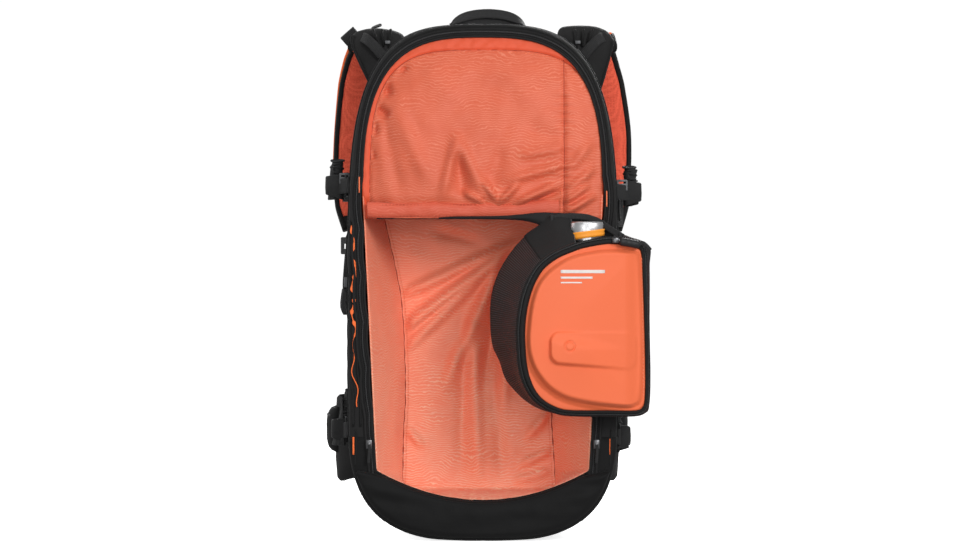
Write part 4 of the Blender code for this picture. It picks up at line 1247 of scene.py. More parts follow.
def make_pod_case(far):
    """The pod's mesh wall, its back panel, its handle and what shows through its top."""
    middle = Vector(LID_MIDDLE)

    def turned_to(points, x_of, z_of):
        return sorted(
            (math.atan2(z_of(p) - middle.y, x_of(p) - middle.x) % math.tau, tuple(p)) for p in points
        )

    near_ring = [seen(x, z, -0.1150) for x, z in closed_curve(POD_NEAR, 300)]
    near_turned = turned_to(near_ring, lambda p: p[0], lambda p: p[2])
    far_turned = turned_to(far, lambda p: p[0], lambda p: p[2])

    def at(turned, angle):
        angles = [a for a, _ in turned]
        return Vector(
            [float(np.interp(angle, angles, [p[k] for _, p in turned], period=math.tau)) for k in range(3)]
        )

    start, end = math.radians(99), math.radians(360 + 74)
    columns = 250
    turns = [mix(start, end, k / (columns - 1)) % math.tau for k in range(columns)]
    nears, fars = [at(near_turned, a) for a in turns], [at(far_turned, a) for a in turns]
    rows = []
    for share in np.linspace(0, 1, 30):
        row = []
        for k, (near, far_point) in enumerate(zip(nears, fars)):
            out = Vector((near.x - middle.x, 0, near.z - middle.y)).normalized()
            slack = math.sin(math.pi * share)
            wave = 0.0016 * wander(k * 0.0022, share * 0.012, 0.0, 0.020) - 0.0022 * slack
            wave += 0.0010 * math.sin(k * 0.21 + 4 * share) * smooth(0.45, 0.75, k / columns)
            row.append(near.lerp(far_point, float(share)) + out * wave * slack)
        rows.append(row)
    wall = grid("pod_mesh_wall", rows, M["gusset"], "pod")
    solidified(wall, 0.0012, 1.0)
    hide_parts("pod_gusset")

    hub = Vector((middle.x, 0, middle.y))
    end_rows = []
    for row in rows:
        flat = [Vector((p.x, 0, p.z)) - hub for p in row[:20]]
        end_rows.append([p + out.normalized() * 0.0014 for p, out in zip(row, flat)])
    end_patch = grid("pod_mesh_end", end_rows, M["shell"], "pod")
    solidified(end_patch, 0.0008, 1.0)

    # Piping round the mesh wall's edges; its pale grey is a painted highlight.
    edges = [tube_rings([p + Vector((0, 0.0004, 0)) for p in near_ring] + [near_ring[0]], 0.0010, 8)]
    for column in (0, columns - 1):
        edges.append(tube_rings([row[column] for row in rows], 0.0013, 8))
    joined("pod_edge_highlight_piping", edges, M["painted_highlight_grey"], "pod")

    panel_rows = []
    for y, share in (
        (-0.1122, 0.004), (-0.1122, 0.5), (-0.1122, 0.985), (-0.1126, 0.997), (-0.1140, 1.0),
        (-0.1148, 0.995), (-0.1152, 0.97), (-0.1156, 0.5), (-0.1156, 0.004)
    ):
        row = []
        for p in near_ring:
            x, z = mix(middle.x, p.x, share), mix(middle.y, p.z, share)
            row.append(Vector((x, y, z)))
        panel_rows.append(row)
    panel = grid("pod_back", panel_rows, M["shell"], "pod", wrap=True, caps=True)
    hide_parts("pod_back_panel")

    route = [
        (0.0765, 0.3650), (0.090, 0.3668), (0.104, 0.3674), (0.120, 0.3655), (0.134, 0.3595), (0.147, 0.3505),
        (0.158, 0.3440)
    ]
    path = curve_through([seen(x, z, mix(-0.1195, -0.1240, smooth(0.12, 0.158, x))) for x, z in route], 60)
    handle = joined(
        "pod_webbing_handle", [ribbon_rings(path, (0, 0, 1), 0.0078, 0.0022)], M["webbing"], "pod"
    )
    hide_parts("pod_handle")
    tacks = []
    for share in (0.02, 0.97):
        i = int(share * 59)
        tacks.append(
            block(path[i] + Vector((-0.0014, -0.0030, -0.0040)), path[i] + Vector((0.0014, -0.0006, 0.0040)))
        )
    joined("pod_handle_tacks", tacks, M["black_thread"], "pod")

    # The outlet's quick connector, and the clip across it.
    low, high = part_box("outlet_duct")
    centre = (low + high) / 2

    def oval(profile, wide, deep, slant):
        rings = []
        for r, z in profile:
            row = []
            for k in range(64):
                turn = math.tau * k / 64
                row.append(
                    Vector(
                        (
                            centre.x + (wide + r) * math.cos(turn), centre.y + (deep + r) * math.sin(turn),
                            z + slant * math.cos(turn)
                        )
                    )
                )
            rings.append(row)
        return rings + [rings[0]]

    top = high.z + 0.0012
    bell = [
        (0.0, top - 0.022), (0.0012, top - 0.020), (0.0006, top - 0.012), (0.0014, top - 0.009),
        (0.0012, top - 0.002), (0.0002, top), (-0.0014, top - 0.0004), (-0.0020, top - 0.006),
        (-0.0022, top - 0.022)
    ]
    connector = grid("duct_connector", oval(bell, 0.0172, 0.0108, 0.0), M["metal"], "pod", wrap=True)
    foot = top - 0.0185
    clip = [
        (-0.0004, foot), (0.0010, foot + 0.0004), (0.0016, foot + 0.0030), (0.0010, foot + 0.0056),
        (0.0018, foot + 0.0068), (0.0014, foot + 0.0080), (-0.0004, foot + 0.0078)
    ]
    collar = grid("duct_clip", oval(clip, 0.0186, 0.0120, 0.0026), M["yellow_plastic"], "pod", wrap=True)

    finish_with("plastic", "fan_housing", "control_box")
    finish_with("grey_plastic", "impeller", "battery_holder")
    finish_with("metal", "fan_motor", "outlet_duct")
    finish_with("blue", "supercapacitor_upper", "supercapacitor_lower")
    finish_with("orange_plastic", "power_button")


def make_pod_slider():
    def on_top(x, z, extra=0.0):
        return lid_at(x, z, 0.0052 + extra)

    start, end = on_top(0.1545, 0.3392, 0.0040), on_top(0.1768, 0.3350, 0.0040)
    radii = [
        0.0010, 0.0034, 0.0042, 0.0045, 0.0045, 0.0043, 0.0045, 0.0045, 0.0043, 0.0045, 0.0045, 0.0042,
        0.0034, 0.0010
    ]
    shares = [0.0, 0.02, 0.06, 0.12, 0.3, 0.34, 0.38, 0.55, 0.59, 0.63, 0.88, 0.94, 0.98, 1.0]
    pull = joined(
        "pod_zip_pull", [tube_rings([start.lerp(end, s) for s in shares], radii, 16)], M["rubber"],
        "pod_zip_slider"
    )
    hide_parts("pod_zip_slider")
    parts = []
    tail = curve_through(
        [
            on_top(x, z, e) for x, z,
            e in (
                (0.1760, 0.3352, 0.0040), (0.1810, 0.3372, 0.0052), (0.1862, 0.3330, 0.0044),
                (0.1895, 0.3292, 0.0030)
            )
        ],
        24
    )
    parts.append(ribbon_rings(tail, (0.3, 0.1, 1), 0.0046, 0.0016))
    joined("pod_zip_tail", parts, M["webbing"], "pod_zip_slider")
    body = []
    for (x, z), (w, h) in (((0.1500, 0.3402), (0.0036, 0.0030)), ((0.1530, 0.3398), (0.0020, 0.0018))):
        centre = on_top(x, z, 0.0014)
        body.append(block(centre - Vector((w, 0.0022, h)), centre + Vector((w, 0.0012, h))))
    joined("pod_zip_slider_body", body, M["metal_dark"], "pod_zip_slider")


def make_sleeve():
    """The black sleeve that runs out from under the pouch's hem and carries the pod. Left of x 0.02 it is
    only a thin black strip along the hem's foot: a dark sheet that stands in for the shadow line under the
    hem.
    """
    rows = []
    tops = [
        (-0.120, 0.3660), (-0.060, 0.3662), (0.000, 0.3664), (0.025, 0.3670), (0.045, 0.3688),
        (0.060, 0.3706), (0.074, 0.3712), (0.090, 0.3700)
    ]
    # Up to x 0.02 the feet sit only one to two millimetres below the tops: a thin black strip as painted
    # shadow under the hem.
    feet = [
        (-0.120, 0.3652), (-0.060, 0.3652), (0.000, 0.3651), (0.025, 0.3647), (0.046, 0.3632),
        (0.062, 0.3590), (0.073, 0.3520), (0.088, 0.3450)
    ]
    top = curve_through([Vector((x, 0, z)) for x, z in tops], 80)
    foot = curve_through([Vector((x, 0, z)) for x, z in feet], 80)
    for share in np.linspace(0, 1, 22):
        row = []
        for a, b in zip(top, foot):
            p = a.lerp(b, float(share))
            y = mix(FRONT + 0.0020, -0.1120, smooth(-0.06, 0.050, p.x)) - 0.0030 * math.sin(math.pi * share)
            y -= 0.0012 * wander(p.x, 2.0, p.z, 0.012)
            row.append(seen(p.x, p.z, y))
        rows.append(row)
    sleeve = grid("pod_sleeve_fabric", rows, M["shell"], None)
    solidify_now(sleeve, 0.0012)
    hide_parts("pod_sleeve")
    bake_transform(sleeve)


# ---------------------------------------------------------------- harness


def table(rows, value):
    """Reads rows of (key, value...) smoothly between their keys, which rise."""
    keys = [r[0] for r in rows]
    return [float(np.interp(value, keys, [r[k] for r in rows])) for k in range(1, len(rows[0]))]


def cushion(
    name, outline, y, thick, material, body, as_seen=True, folds=0.0, edge=0.10, columns=112, rings=16
):
    """A crowned closed pad with that outline in X and Z: thin at its edge and full in its middle."""
    ring = closed_curve(outline, columns)
    middle = sum(ring, Vector((0, 0))) / columns
    shares = [math.sin(math.pi / 2 * k / rings) for k in range(1, rings + 1)]
    shares = [0.03] + [s for s in shares if s > 0.1]

    def row(share, sign):
        made = []
        for p in ring:
            x, z = mix(middle.x, p.x, share), mix(middle.y, p.y, share)
            half = thick / 2 * (edge + (1 - edge) * (1 - share**4) ** 0.55)
            crumple = folds * (
                wander(x, sign * 3.0, z, 0.020) + 0.5 * wander(x, sign, z * 2, 0.012)
            ) * (1 - share**6)
            depth = y + sign * (half + crumple)
            made.append(seen(x, z, depth) if as_seen else Vector((x, depth, z)))
        return made

    rows = [row(s, 1) for s in shares] + [row(s, -1) for s in reversed(shares)]
    return grid(name, rows, material, body, wrap=True, caps=True)


PUFF_STEPS = 20
PUFF_EVENING = 4


def puffed(pad, cap, pressure=4.0, voxel=0.005):
    """Fills a closed pad by cloth simulation on a remeshed copy, no point moving over cap, then evens it."""
    scene = bpy.context.scene
    trial = bpy.data.objects.new("trial", pad.data)
    scene.collection.objects.link(trial)
    remesh = trial.modifiers.new("remesh", "REMESH")
    remesh.mode = "VOXEL"
    remesh.voxel_size = voxel
    trial.data = bpy.data.meshes.new_from_object(trial.evaluated_get(bpy.context.evaluated_depsgraph_get()))
    trial.modifiers.clear()
    start = [v.co.copy() for v in trial.data.vertices]
    cloth = trial.modifiers.new("cloth", "CLOTH").settings
    cloth.use_pressure = True
    cloth.uniform_pressure_force = pressure
    cloth.effector_weights.gravity = 0
    for step in range(PUFF_STEPS):
        scene.frame_set(step + 1)
    full = bpy.data.meshes.new_from_object(trial.evaluated_get(bpy.context.evaluated_depsgraph_get()))
    scene.frame_set(1)
    for vert, old in zip(full.vertices, start):
        move = vert.co - old
        vert.co = old + move * min(cap / max(move.length, 1e-9), 1.0)
    for face in full.polygons:
        face.use_smooth = True
    bpy.data.objects.remove(trial)
    pad.data = full
    even = pad.modifiers.new("even", "SMOOTH")
    even.factor, even.iterations = 0.5, PUFF_EVENING
    pad.modifiers.new("fine", "SUBSURF").levels = 1
    return pad


# The straps' outer edges as the camera sees them: height, then the left and the right edge.
STRAP_EDGES = [
    (0.340, -0.1560, 0.1550),
    (0.356, -0.1590, 0.1580),
    (0.372, -0.1640, 0.1625),
    (0.388, -0.1675, 0.1655),
    (0.434, -0.1680, 0.1674),
    (0.452, -0.1677, 0.1682),
    (0.491, -0.1650, 0.1642),
    (0.531, -0.1590, 0.1562),
    (0.551, -0.1545, 0.1528),
    (0.564, -0.1515, 0.1512),
    (0.580, -0.1480, 0.1490),
]
STRAP_RUN = [
    (0.105, 0.5700, 0.044), (0.120, 0.5790, 0.048), (0.134, 0.5835, 0.052), (0.150, 0.5825, 0.058),
    (0.166, 0.5700, 0.062), (0.177, 0.5500, 0.062), (0.184, 0.5220, 0.062), (0.188, 0.4750, 0.062),
    (0.186, 0.4300, 0.060), (0.178, 0.3900, 0.054), (0.168, 0.3560, 0.040),
]  # fmt: skip


def strap_lines(side):
    """The strap's centre line and its widths. side is -1 on the left."""
    centre, widths = [], []
    for y, z, width in STRAP_RUN:
        reach = (y - EYE.y) / CAMERA_GAP
        left, right = table(STRAP_EDGES, EYE.z + (z - EYE.z) / reach)
        outer = EYE.x + ((left if side < 0 else right) - EYE.x) * reach
        centre.append(Vector((outer - side * width / 2, y, z)))
        widths.append(width)
    path = curve_through(centre, 90)
    run = np.linspace(0, 1, len(widths))
    return path, [float(np.interp(t, run, widths)) for t in np.linspace(0, 1, 90)]


def make_strap(side, name):
    path, widths = strap_lines(side)
    tip = [smooth(1.02, 0.94, t) * 0.4 + 0.6 for t in np.linspace(0, 1, 90)]
    pad = joined(
        f"strap_pad_{name}", [ribbon_rings(path, (1, 0, 0), widths, 0.0085, [0.0015 * t for t in tip])],
        M["shell"]
    )
    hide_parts(f"shoulder_strap_{name}")

    rows = []
    turned = frames(path, (1, 0, 0))
    for k, ((point, across, out), width) in enumerate(zip(turned, widths)):
        if k > 84:
            break
        half = width / 2 - 0.0065
        row = []
        for u in np.linspace(-1, 1, 17):
            quilt = 0.0012 * math.cos(k * 0.55) * (1 - u * u)
            crown = 0.0050 + 0.0030 * (1 - u**4) + quilt
            crown += 0.0012 * wander(point.x + u * 0.02, point.y, point.z, 0.016)
            row.append(point + across * half * float(u) + out * crown)
        rows.append(row)
    lining = grid(f"strap_lining_{name}", rows, M["strap_mesh"])
    solidified(lining, 0.0012)

    edges = []
    for sign in (-1, 1):
        line = [p + a * sign * (w / 2 - 0.0030) for (p, a, _), w in zip(turned, widths)]
        edges.append(ribbon_rings(line, (1, 0, 0), 0.0072, 0.0118, 0.0006))
    joined(f"strap_binding_{name}", edges, M["tape"])
    behind = 0.0 if side < 0 else 0.0052
    line = [p + a * side * (w / 2 + 0.0002 - behind) - o * behind for (p, a, o), w in zip(turned, widths)]
    thick = [
        0.0022 * smooth(0.02, 0.12, t) * (
            1 - 0.72 * smooth(0.25, 0.60, t)
        ) + 0.0002 for t in np.linspace(0, 1, 90)
    ]
    joined(
        f"strap_piping_{name}", [tube_rings(line[8:70], thick[8:70], 8)], M["orange_cord"]
    )

    # A pocket for the hose or the trigger's cable on the outer face, and a webbing down its middle.
    web = [p - o * 0.0068 for p, _, o in turned][6:86]
    joined(
        f"strap_webbing_line_{name}", [ribbon_rings(web, (1, 0, 0), 0.020, 0.0016)], M["webbing"],
    )
    parts = []
    for k in (10, 30, 50, 68):
        centre, across = web[k], turned[k + 6][1]
        bar = [centre + across * u - turned[k + 6][2] * 0.0012 for u in np.linspace(-0.011, 0.011, 7)]
        parts += stitch_parts(bar, -turned[k + 6][2])
    joined(f"strap_tacks_{name}", parts, M["black_thread"])

    # The bent-back tip of the binding over the top.
    low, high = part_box(f"strap_adjuster_{name}")
    end = path[-1]
    loop = curve_through(
        [
            end + Vector((0, 0, 0.010)), end + Vector((0, -0.001, 0.0)),
            Vector(((low.x + high.x) / 2, (low.y + high.y) / 2 + 0.002, high.z - 0.004))
        ],
        14
    )
    joined(
        f"adjuster_anchor_{name}", [ribbon_rings(loop, (1, 0, 0), 0.025, 0.0024)], M["webbing"],
    )
    finish_with("plastic", f"strap_adjuster_{name}")


def make_strap_webbing(side, name):
    route = [
        (side * 0.1545, 0.1565, 0.3290), (side * 0.1560, 0.1450, 0.3040), (side * 0.1572, 0.1290, 0.2780),
        (side * 0.1575, 0.1100, 0.2480), (side * 0.1572, 0.0900, 0.2200), (side * 0.1566, 0.0620, 0.1910),
    ]  # fmt: skip
    path = curve_through(route, 60)
    leans = [
        Vector((1, 0, 0.1)).lerp(Vector((0.1, 0.7, -0.65)), smooth(0.0, 0.75, k / 59)) for k in range(60)
    ]
    web = joined(f"strap_tension_web_{name}", [ribbon_rings(path, leans, 0.0235, 0.0018)], M["webbing"])
    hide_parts(f"strap_webbing_{name}")
    if side < 0:
        centre = seen(-0.1520, 0.2925, path[20].y)
        joined(
            "web_keeper",
            [block(centre - Vector((0.0052, 0.0050, 0.0062)), centre + Vector((0.0048, 0.0040, 0.0062)))],
            M["grey_plastic"]
        )
        rings = []
        for z, half in (
            (0.2855, 0.0045), (0.2800, 0.0056), (0.2700, 0.0068), (0.2640, 0.0066), (0.2590, 0.0048),
            (0.2560, 0.0030)
        ):
            centre = seen(-0.1548, z, 0.1180)
            rings.append(
                [
                    centre + Vector(
                        (half * math.cos(t), 0.0045 * math.sin(t), 0)
                    ) for t in np.linspace(0, math.tau, 13)[:-1]
                ]
            )
        joined("web_stop", [rings], M["rubber"])


YOKE_SWELL, LUMBAR_SWELL = 0.0040, 0.0050
YOKES = {
    "left": [
        (-0.088, 0.5715), (-0.100, 0.5775), (-0.112, 0.5800), (-0.127, 0.5805), (-0.140, 0.5775), (
            -0.1495, 0.5715
        ),
        (-0.1500, 0.5630), (-0.1440, 0.5480), (-0.1360, 0.5310), (-0.1290, 0.5170), (-0.1200, 0.5010),
        (-0.1080, 0.5040), (-0.0950, 0.5200), (-0.0850, 0.5480),
    ],
    "right": [
        (0.084, 0.5780), (0.099, 0.5830), (0.119, 0.5832), (0.134, 0.5805), (0.1440, 0.5745), (
            0.1490, 0.5650
        ),
        (0.1465, 0.5540), (0.1410, 0.5330), (0.1350, 0.5130), (0.1290, 0.5020), (0.1150, 0.5040), (
            0.0980, 0.5220
        ),
        (0.0860, 0.5500),
    ],
}  # fmt: skip


def make_yoke(side, name):
    outline = YOKES[name][::-1] if side < 0 else YOKES[name]
    yoke = cushion(f"yoke_{name}", outline, 0.1040, 0.037, M["shell"], "pack", folds=0.0036)
    puffed(yoke, YOKE_SWELL)
    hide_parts(f"strap_yoke_{name}")
    parts = []
    for k, (top_x, foot_x) in enumerate(((0.104, 0.106), (0.114, 0.112), (0.124, 0.118))):
        run = [
            seen(
                side * mix(top_x, foot_x, t), mix(0.5785, 0.5560 + 0.003 * k, t),
                0.0865 - 0.004 * math.sin(math.pi * t)
            ) for t in np.linspace(0, 1, 12)
        ]
        parts.append(tube_rings(run, 0.0016, 8))
    edge = [seen(x, z, 0.0950) for x, z in (YOKES[name][5:10] if side < 0 else YOKES[name][5:9])]
    parts.append(
        ribbon_rings(
            curve_through([p + Vector((-side * 0.0030, 0, 0)) for p in edge], 30), (1, -0.3 * side, 0),
            0.0058, 0.0030
        )
    )
    joined(f"yoke_piping_{name}", parts, M["tape"])

    # The load lifter runs from the strap over the yoke to the frame.
    lift = curve_through(
        [
            seen(side * 0.1440, 0.5700, 0.1200), seen(side * 0.1340, 0.5690, 0.0860),
            seen(side * 0.1230, 0.5600, 0.0810), seen(side * 0.1130, 0.5480, 0.0830)
        ],
        30,
    )
    joined(
        f"load_lifter_{name}", [ribbon_rings(lift, (-0.55 * side, 0.1, 1), 0.0125, 0.0018)],
        M["webbing"]
    )
    centre = seen(side * 0.1075, 0.5640, 0.0820)
    joined(
        f"lifter_ladder_{name}",
        [block(centre - Vector((0.0030, 0.0012, 0.0018)), centre + Vector((0.0030, 0.0012, 0.0018)))],
        M["grey_plastic"]
    )
    if side < 0:
        tip = [seen(-0.1560, 0.5645, 0.1300), seen(-0.1500, 0.5700, 0.1240), seen(-0.1425, 0.5765, 0.1200)]
        joined(
            "strap_shoulder_tab", [ribbon_rings(curve_through(tip, 14), (0.5, 0.1, -0.7), 0.0150, 0.0040)],
            M["webbing"]
        )
        line = [seen(-0.1505, 0.5640, 0.1190), seen(-0.1470, 0.5680, 0.1170), seen(-0.1432, 0.5735, 0.1160)]
        joined(
            "strap_shoulder_stripe", [tube_rings(curve_through(line, 12), 0.0007, 6)],
            M["orange_thread"]
        )


def make_haul_loop():
    path, leans = [], []
    for k in range(80):
        turn = math.radians(mix(-34, 214, k / 79))
        rise = math.copysign(
            abs(math.sin(turn)) ** 0.72, math.sin(turn)
        ) * (0.0280 if math.sin(turn) > 0 else 0.0400)
        path.append(Vector((0.0055 - 0.0460 * min(max(math.cos(turn), -0.97), 0.97), 0.066, 0.5800 + rise)))
        leans.append(Vector((0, 1, 0)).lerp(Vector((0, 0.62, 0.78)), smooth(0.1, 0.9, math.sin(turn))))
    web = ribbon_rings(path, leans, 0.0150, 0.0030)
    loop = joined("haul_loop_webbing", [web], M["webbing"])
    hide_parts("haul_loop")
    knots = [
        seen(x, z, 0.0635) for x,
        z in ((-0.036, 0.5800), (-0.018, 0.5862), (0.006, 0.5856), (0.026, 0.5838), (0.046, 0.5780))
    ]
    joined(
        "haul_loop_grip", [ribbon_rings(curve_through(knots, 30), (0, 0.4, 0.9), 0.0128, 0.0026)],
        M["webbing"]
    )


def spiral(low, high, turns, inner, outer):
    """The rings of a webbing wound round the line from low to high, with its turns standing unevenly."""
    path = []
    axis = high - low
    count = int(turns * 22)
    for k in range(count):
        t = k / (count - 1)
        turn = math.tau * turns * t + 0.8
        r = mix(inner, outer, t)
        centre = low.lerp(high, 0.5 - 0.10 * t + 0.04 * math.sin(turn * 0.7))
        path.append(centre + Vector((r * math.cos(turn), r * 1.15 * math.sin(turn), 0)))
    return ribbon_rings(path, axis, axis.length, 0.0019)


def make_side_strap(side, name, height, place, upper):
    """A side strap: its webbing, the rolled-up tail in its elastic keeper, and its ladder."""
    x = side * 0.1553
    kind = "compression_strap" if upper else "lower_strap"
    end = -0.0005 if upper else 0.0700
    web_path = [Vector((x, y, height)) for y in np.linspace(-0.0680, end, 40)]
    web_path = [
        p + Vector((side * 0.0014 * math.sin(k * 0.24), 0, 0.0006 * math.sin(k * 0.17))) for k,
        p in enumerate(web_path)
    ]
    web = joined(
        f"{kind}_web_{name}", [ribbon_rings(web_path, (0, 0, 1), 0.0245, 0.0020)], M["webbing"], None
    )
    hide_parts(f"{kind}_{name}")
    if upper:
        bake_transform(web)
    else:
        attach(web, "pack")

    roll_x, roll_z = place
    centre = seen(roll_x, roll_z, -0.046)
    rise = 0.0290 if upper else 0.0440
    lean = side * (-0.0035 if upper else -0.0150)
    foot, head = centre + Vector((0, 0, -0.0110)), centre + Vector((lean, 0, rise))
    parts = [spiral(foot, head, 2.6, 0.0022, 0.0070 if upper else 0.0078)]
    for k in range(5 if upper else 9):
        middle = foot.lerp(head, 1.0 - 0.105 * k)
        wide = (0.0060 if k % 2 else 0.0073) + (0.0 if upper else 0.0010)
        ring = [
            middle + Vector((wide * math.cos(t), 0.0086 * math.sin(t), 0.0013 * math.sin(t + 1.9 * k)))
            for t in np.linspace(0, math.tau, 25)
        ]
        parts.append(tube_rings(ring, 0.0012, 6))
    joined(f"{kind}_roll_{name}", parts, M["webbing"])

    keeper, wall = [], 0.0012
    for lift, grow in (
        (-0.0128, -0.0004), (-0.0120, 0.0004), (0.0, 0.0008), (0.0112, 0.0004), (0.0122, -0.0004)
    ):
        row = []
        for k in range(36):
            t = math.tau * k / 36
            px = math.copysign(abs(math.cos(t)) ** 0.45, math.cos(t)) * (0.0098 + grow)
            py = math.copysign(abs(math.sin(t)) ** 0.45, math.sin(t)) * (0.0116 + grow)
            slant = 0.0030 * (side * px / 0.0098) if lift < 0 else 0.0012 * (-side * px / 0.0098)
            row.append(Vector((centre.x + px, centre.y + py, centre.z + lift + slant)))
        keeper.append(row)
    loop = grid(f"{kind}_keeper_{name}", keeper, M["elastic"], "pack", wrap=True)
    solidified(loop, wall, -1.0)

    ladder_x = roll_x - side * 0.0115
    bars = []
    for k in range(3):
        middle = seen(ladder_x, roll_z + (0.0135 if upper else 0.0120) - 0.0045 * k, -0.060)
        bars.append(
            block(middle - Vector((0.0052, 0.0018, 0.0012)), middle + Vector((0.0052, 0.0018, 0.0012)))
        )
    for sign in (-1, 1):
        middle = seen(ladder_x + sign * 0.0050, roll_z + 0.0085, -0.060)
        bars.append(
            block(middle - Vector((0.0010, 0.0016, 0.0060)), middle + Vector((0.0010, 0.0016, 0.0060)))
        )
    joined(f"{kind}_ladder_{name}", bars, M["grey_plastic"])
    run = [
        Vector((side * 0.1500, -0.0720, centre.z + 0.001)),
        Vector((side * 0.1555, -0.0690, centre.z)),
        Vector((centre.x - side * 0.004, centre.y - 0.0095, centre.z - 0.001)),
    ]
    anchor = ribbon_rings(curve_through(run, 12), (0, 0, 1), 0.0180, 0.0020)
    joined(f"{kind}_anchor_{name}", [anchor], M["webbing"])


# Where the camera sees each rolled tail's middle: sideways and up.
UPPER_ROLLS = {"left": (-0.1675, 0.4015), "right": (0.1690, 0.3940)}
LOWER_ROLLS = {"left": (-0.1610, 0.1270), "right": (0.1570, 0.1190)}
SIDE_STRAP_HALF_WIDTH = 0.0125


def make_side_hardware():
    for side, name in SIDES:
        low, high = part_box(f"compression_clip_{name}")
        make_side_strap(side, name, (low.z + high.z) / 2, UPPER_ROLLS[name], True)
        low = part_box(f"lower_strap_{name}")[0]
        make_side_strap(side, name, low.z + SIDE_STRAP_HALF_WIDTH, LOWER_ROLLS[name], False)
        finish_with("plastic", f"compression_buckle_{name}", f"compression_clip_{name}")


def make_hip_wing(side, name):
    reach = 0.177 if side < 0 else 0.163
    body = f"hip_wing_{name}"
    points = [
        (0.096, 0.0975), (0.130, 0.1010), (reach - 0.013, 0.1220), (reach - 0.006, 0.1600),
        (reach - 0.007, 0.2050), (reach - 0.018, 0.2560)
    ]
    path = curve_through([(side * x, y, 0.118) for x, y in points], 80)
    run = np.linspace(0, 1, 6)
    tops = [0.160, 0.163, 0.160, 0.157, 0.151, 0.140]
    feet = [0.072, 0.062, 0.054, 0.062, 0.078, 0.096]
    rings = []
    turned = frames(path, (0, 0, 1))
    for k, (point, across, out) in enumerate(turned):
        t = k / 79
        top, foot = float(np.interp(t, run, tops)), float(np.interp(t, run, feet))
        width = (top - foot) * (1 - 0.35 * smooth(0.96, 1.0, t))
        centre = Vector((point.x, point.y, (top + foot) / 2))
        ring = []
        for u, v in flat_section(width, 0.0085, 0.0024 * (1 - 0.6 * smooth(0.9, 1.0, t))):
            crumple = 0.0009 * wander(centre.x + u, centre.y, u * 1.3, 0.018) * math.copysign(1, v)
            ring.append(centre + across * u + out * (v + crumple))
        rings.append(ring)
    wing = joined(f"hip_wing_pad_{name}", [rings], M["shell"], body)
    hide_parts(f"hip_wing_{name}")
    rows = []
    for k in range(10, 74):
        point, across, out = turned[k]
        t = k / 79
        top, foot = float(np.interp(t, run, tops)), float(np.interp(t, run, feet))
        toward = out if out.x * side < 0 else -out
        centre = Vector((point.x, point.y, (top + foot) / 2))
        half = (top - foot) / 2 - 0.009
        rows.append(
            [
                centre + Vector((0, 0, 1)) * half * float(u) + toward * (
                    0.0046 + 0.0034 * (1 - u**4)
                ) for u in np.linspace(-1, 1, 19)
            ]
        )
    lining = grid(f"hip_wing_mesh_{name}", rows, M["pad_mesh"], body)
    solidified(lining, 0.0012, 0.0)
    pocket = []
    for k in range(30, 68):
        point, across, out = turned[k]
        t = (k - 30) / 37
        toward = -out if out.x * side < 0 else out
        centre = Vector((point.x, point.y, 0.1165))
        row = []
        for u in np.linspace(-1, 1, 21):
            swell = 0.0110 * (1 - abs(2 * t - 1) ** 4) ** 0.5 * (1 - abs(u) ** 4) ** 0.5
            row.append(
                centre + Vector((0, 0, 1)) * 0.0270 * float(u) + toward * (
                    0.0052 + swell + 0.0008 * wander(u * 0.03, t * 0.06, side, 0.015)
                )
            )
        pocket.append(row)
    bag = grid(f"hip_pocket_{name}", pocket, M["boot"], body)
    solidified(bag, 0.0012, 0.0)
    zip_line = [row[16] + Vector((0, 0, 0.0006)) for row in pocket[3:-3]]
    joined(f"hip_pocket_zip_{name}", [tube_rings(zip_line, 0.0014, 8)], M["coil"], body)

    end = reach - 0.0195
    route = [
        (end + 0.0035, 0.2250, 0.1180), (end + 0.0010, 0.2450, 0.1180), (end, 0.2600, 0.1175),
        (end - 0.014, 0.2740, 0.1120), (end - 0.030, 0.2800, 0.0980), (end - 0.034, 0.2800, 0.0740)
    ]
    web_path = curve_through([(side * x, y, z) for x, y, z in route], 60)
    leans = [
        Vector((0, 0, 1)).lerp(
            Vector((1, 0, 0)), smooth(0.45, 0.85, k / 59)
        ) + Vector((0, 0.001, 0)) for k in range(60)
    ]
    web = joined(f"hip_belt_web_{name}", [ribbon_rings(web_path, leans, 0.0330, 0.0022)], M["webbing"], body)
    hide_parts(f"hip_webbing_{name}")
    finish_with("plastic", f"hip_buckle_{name}")


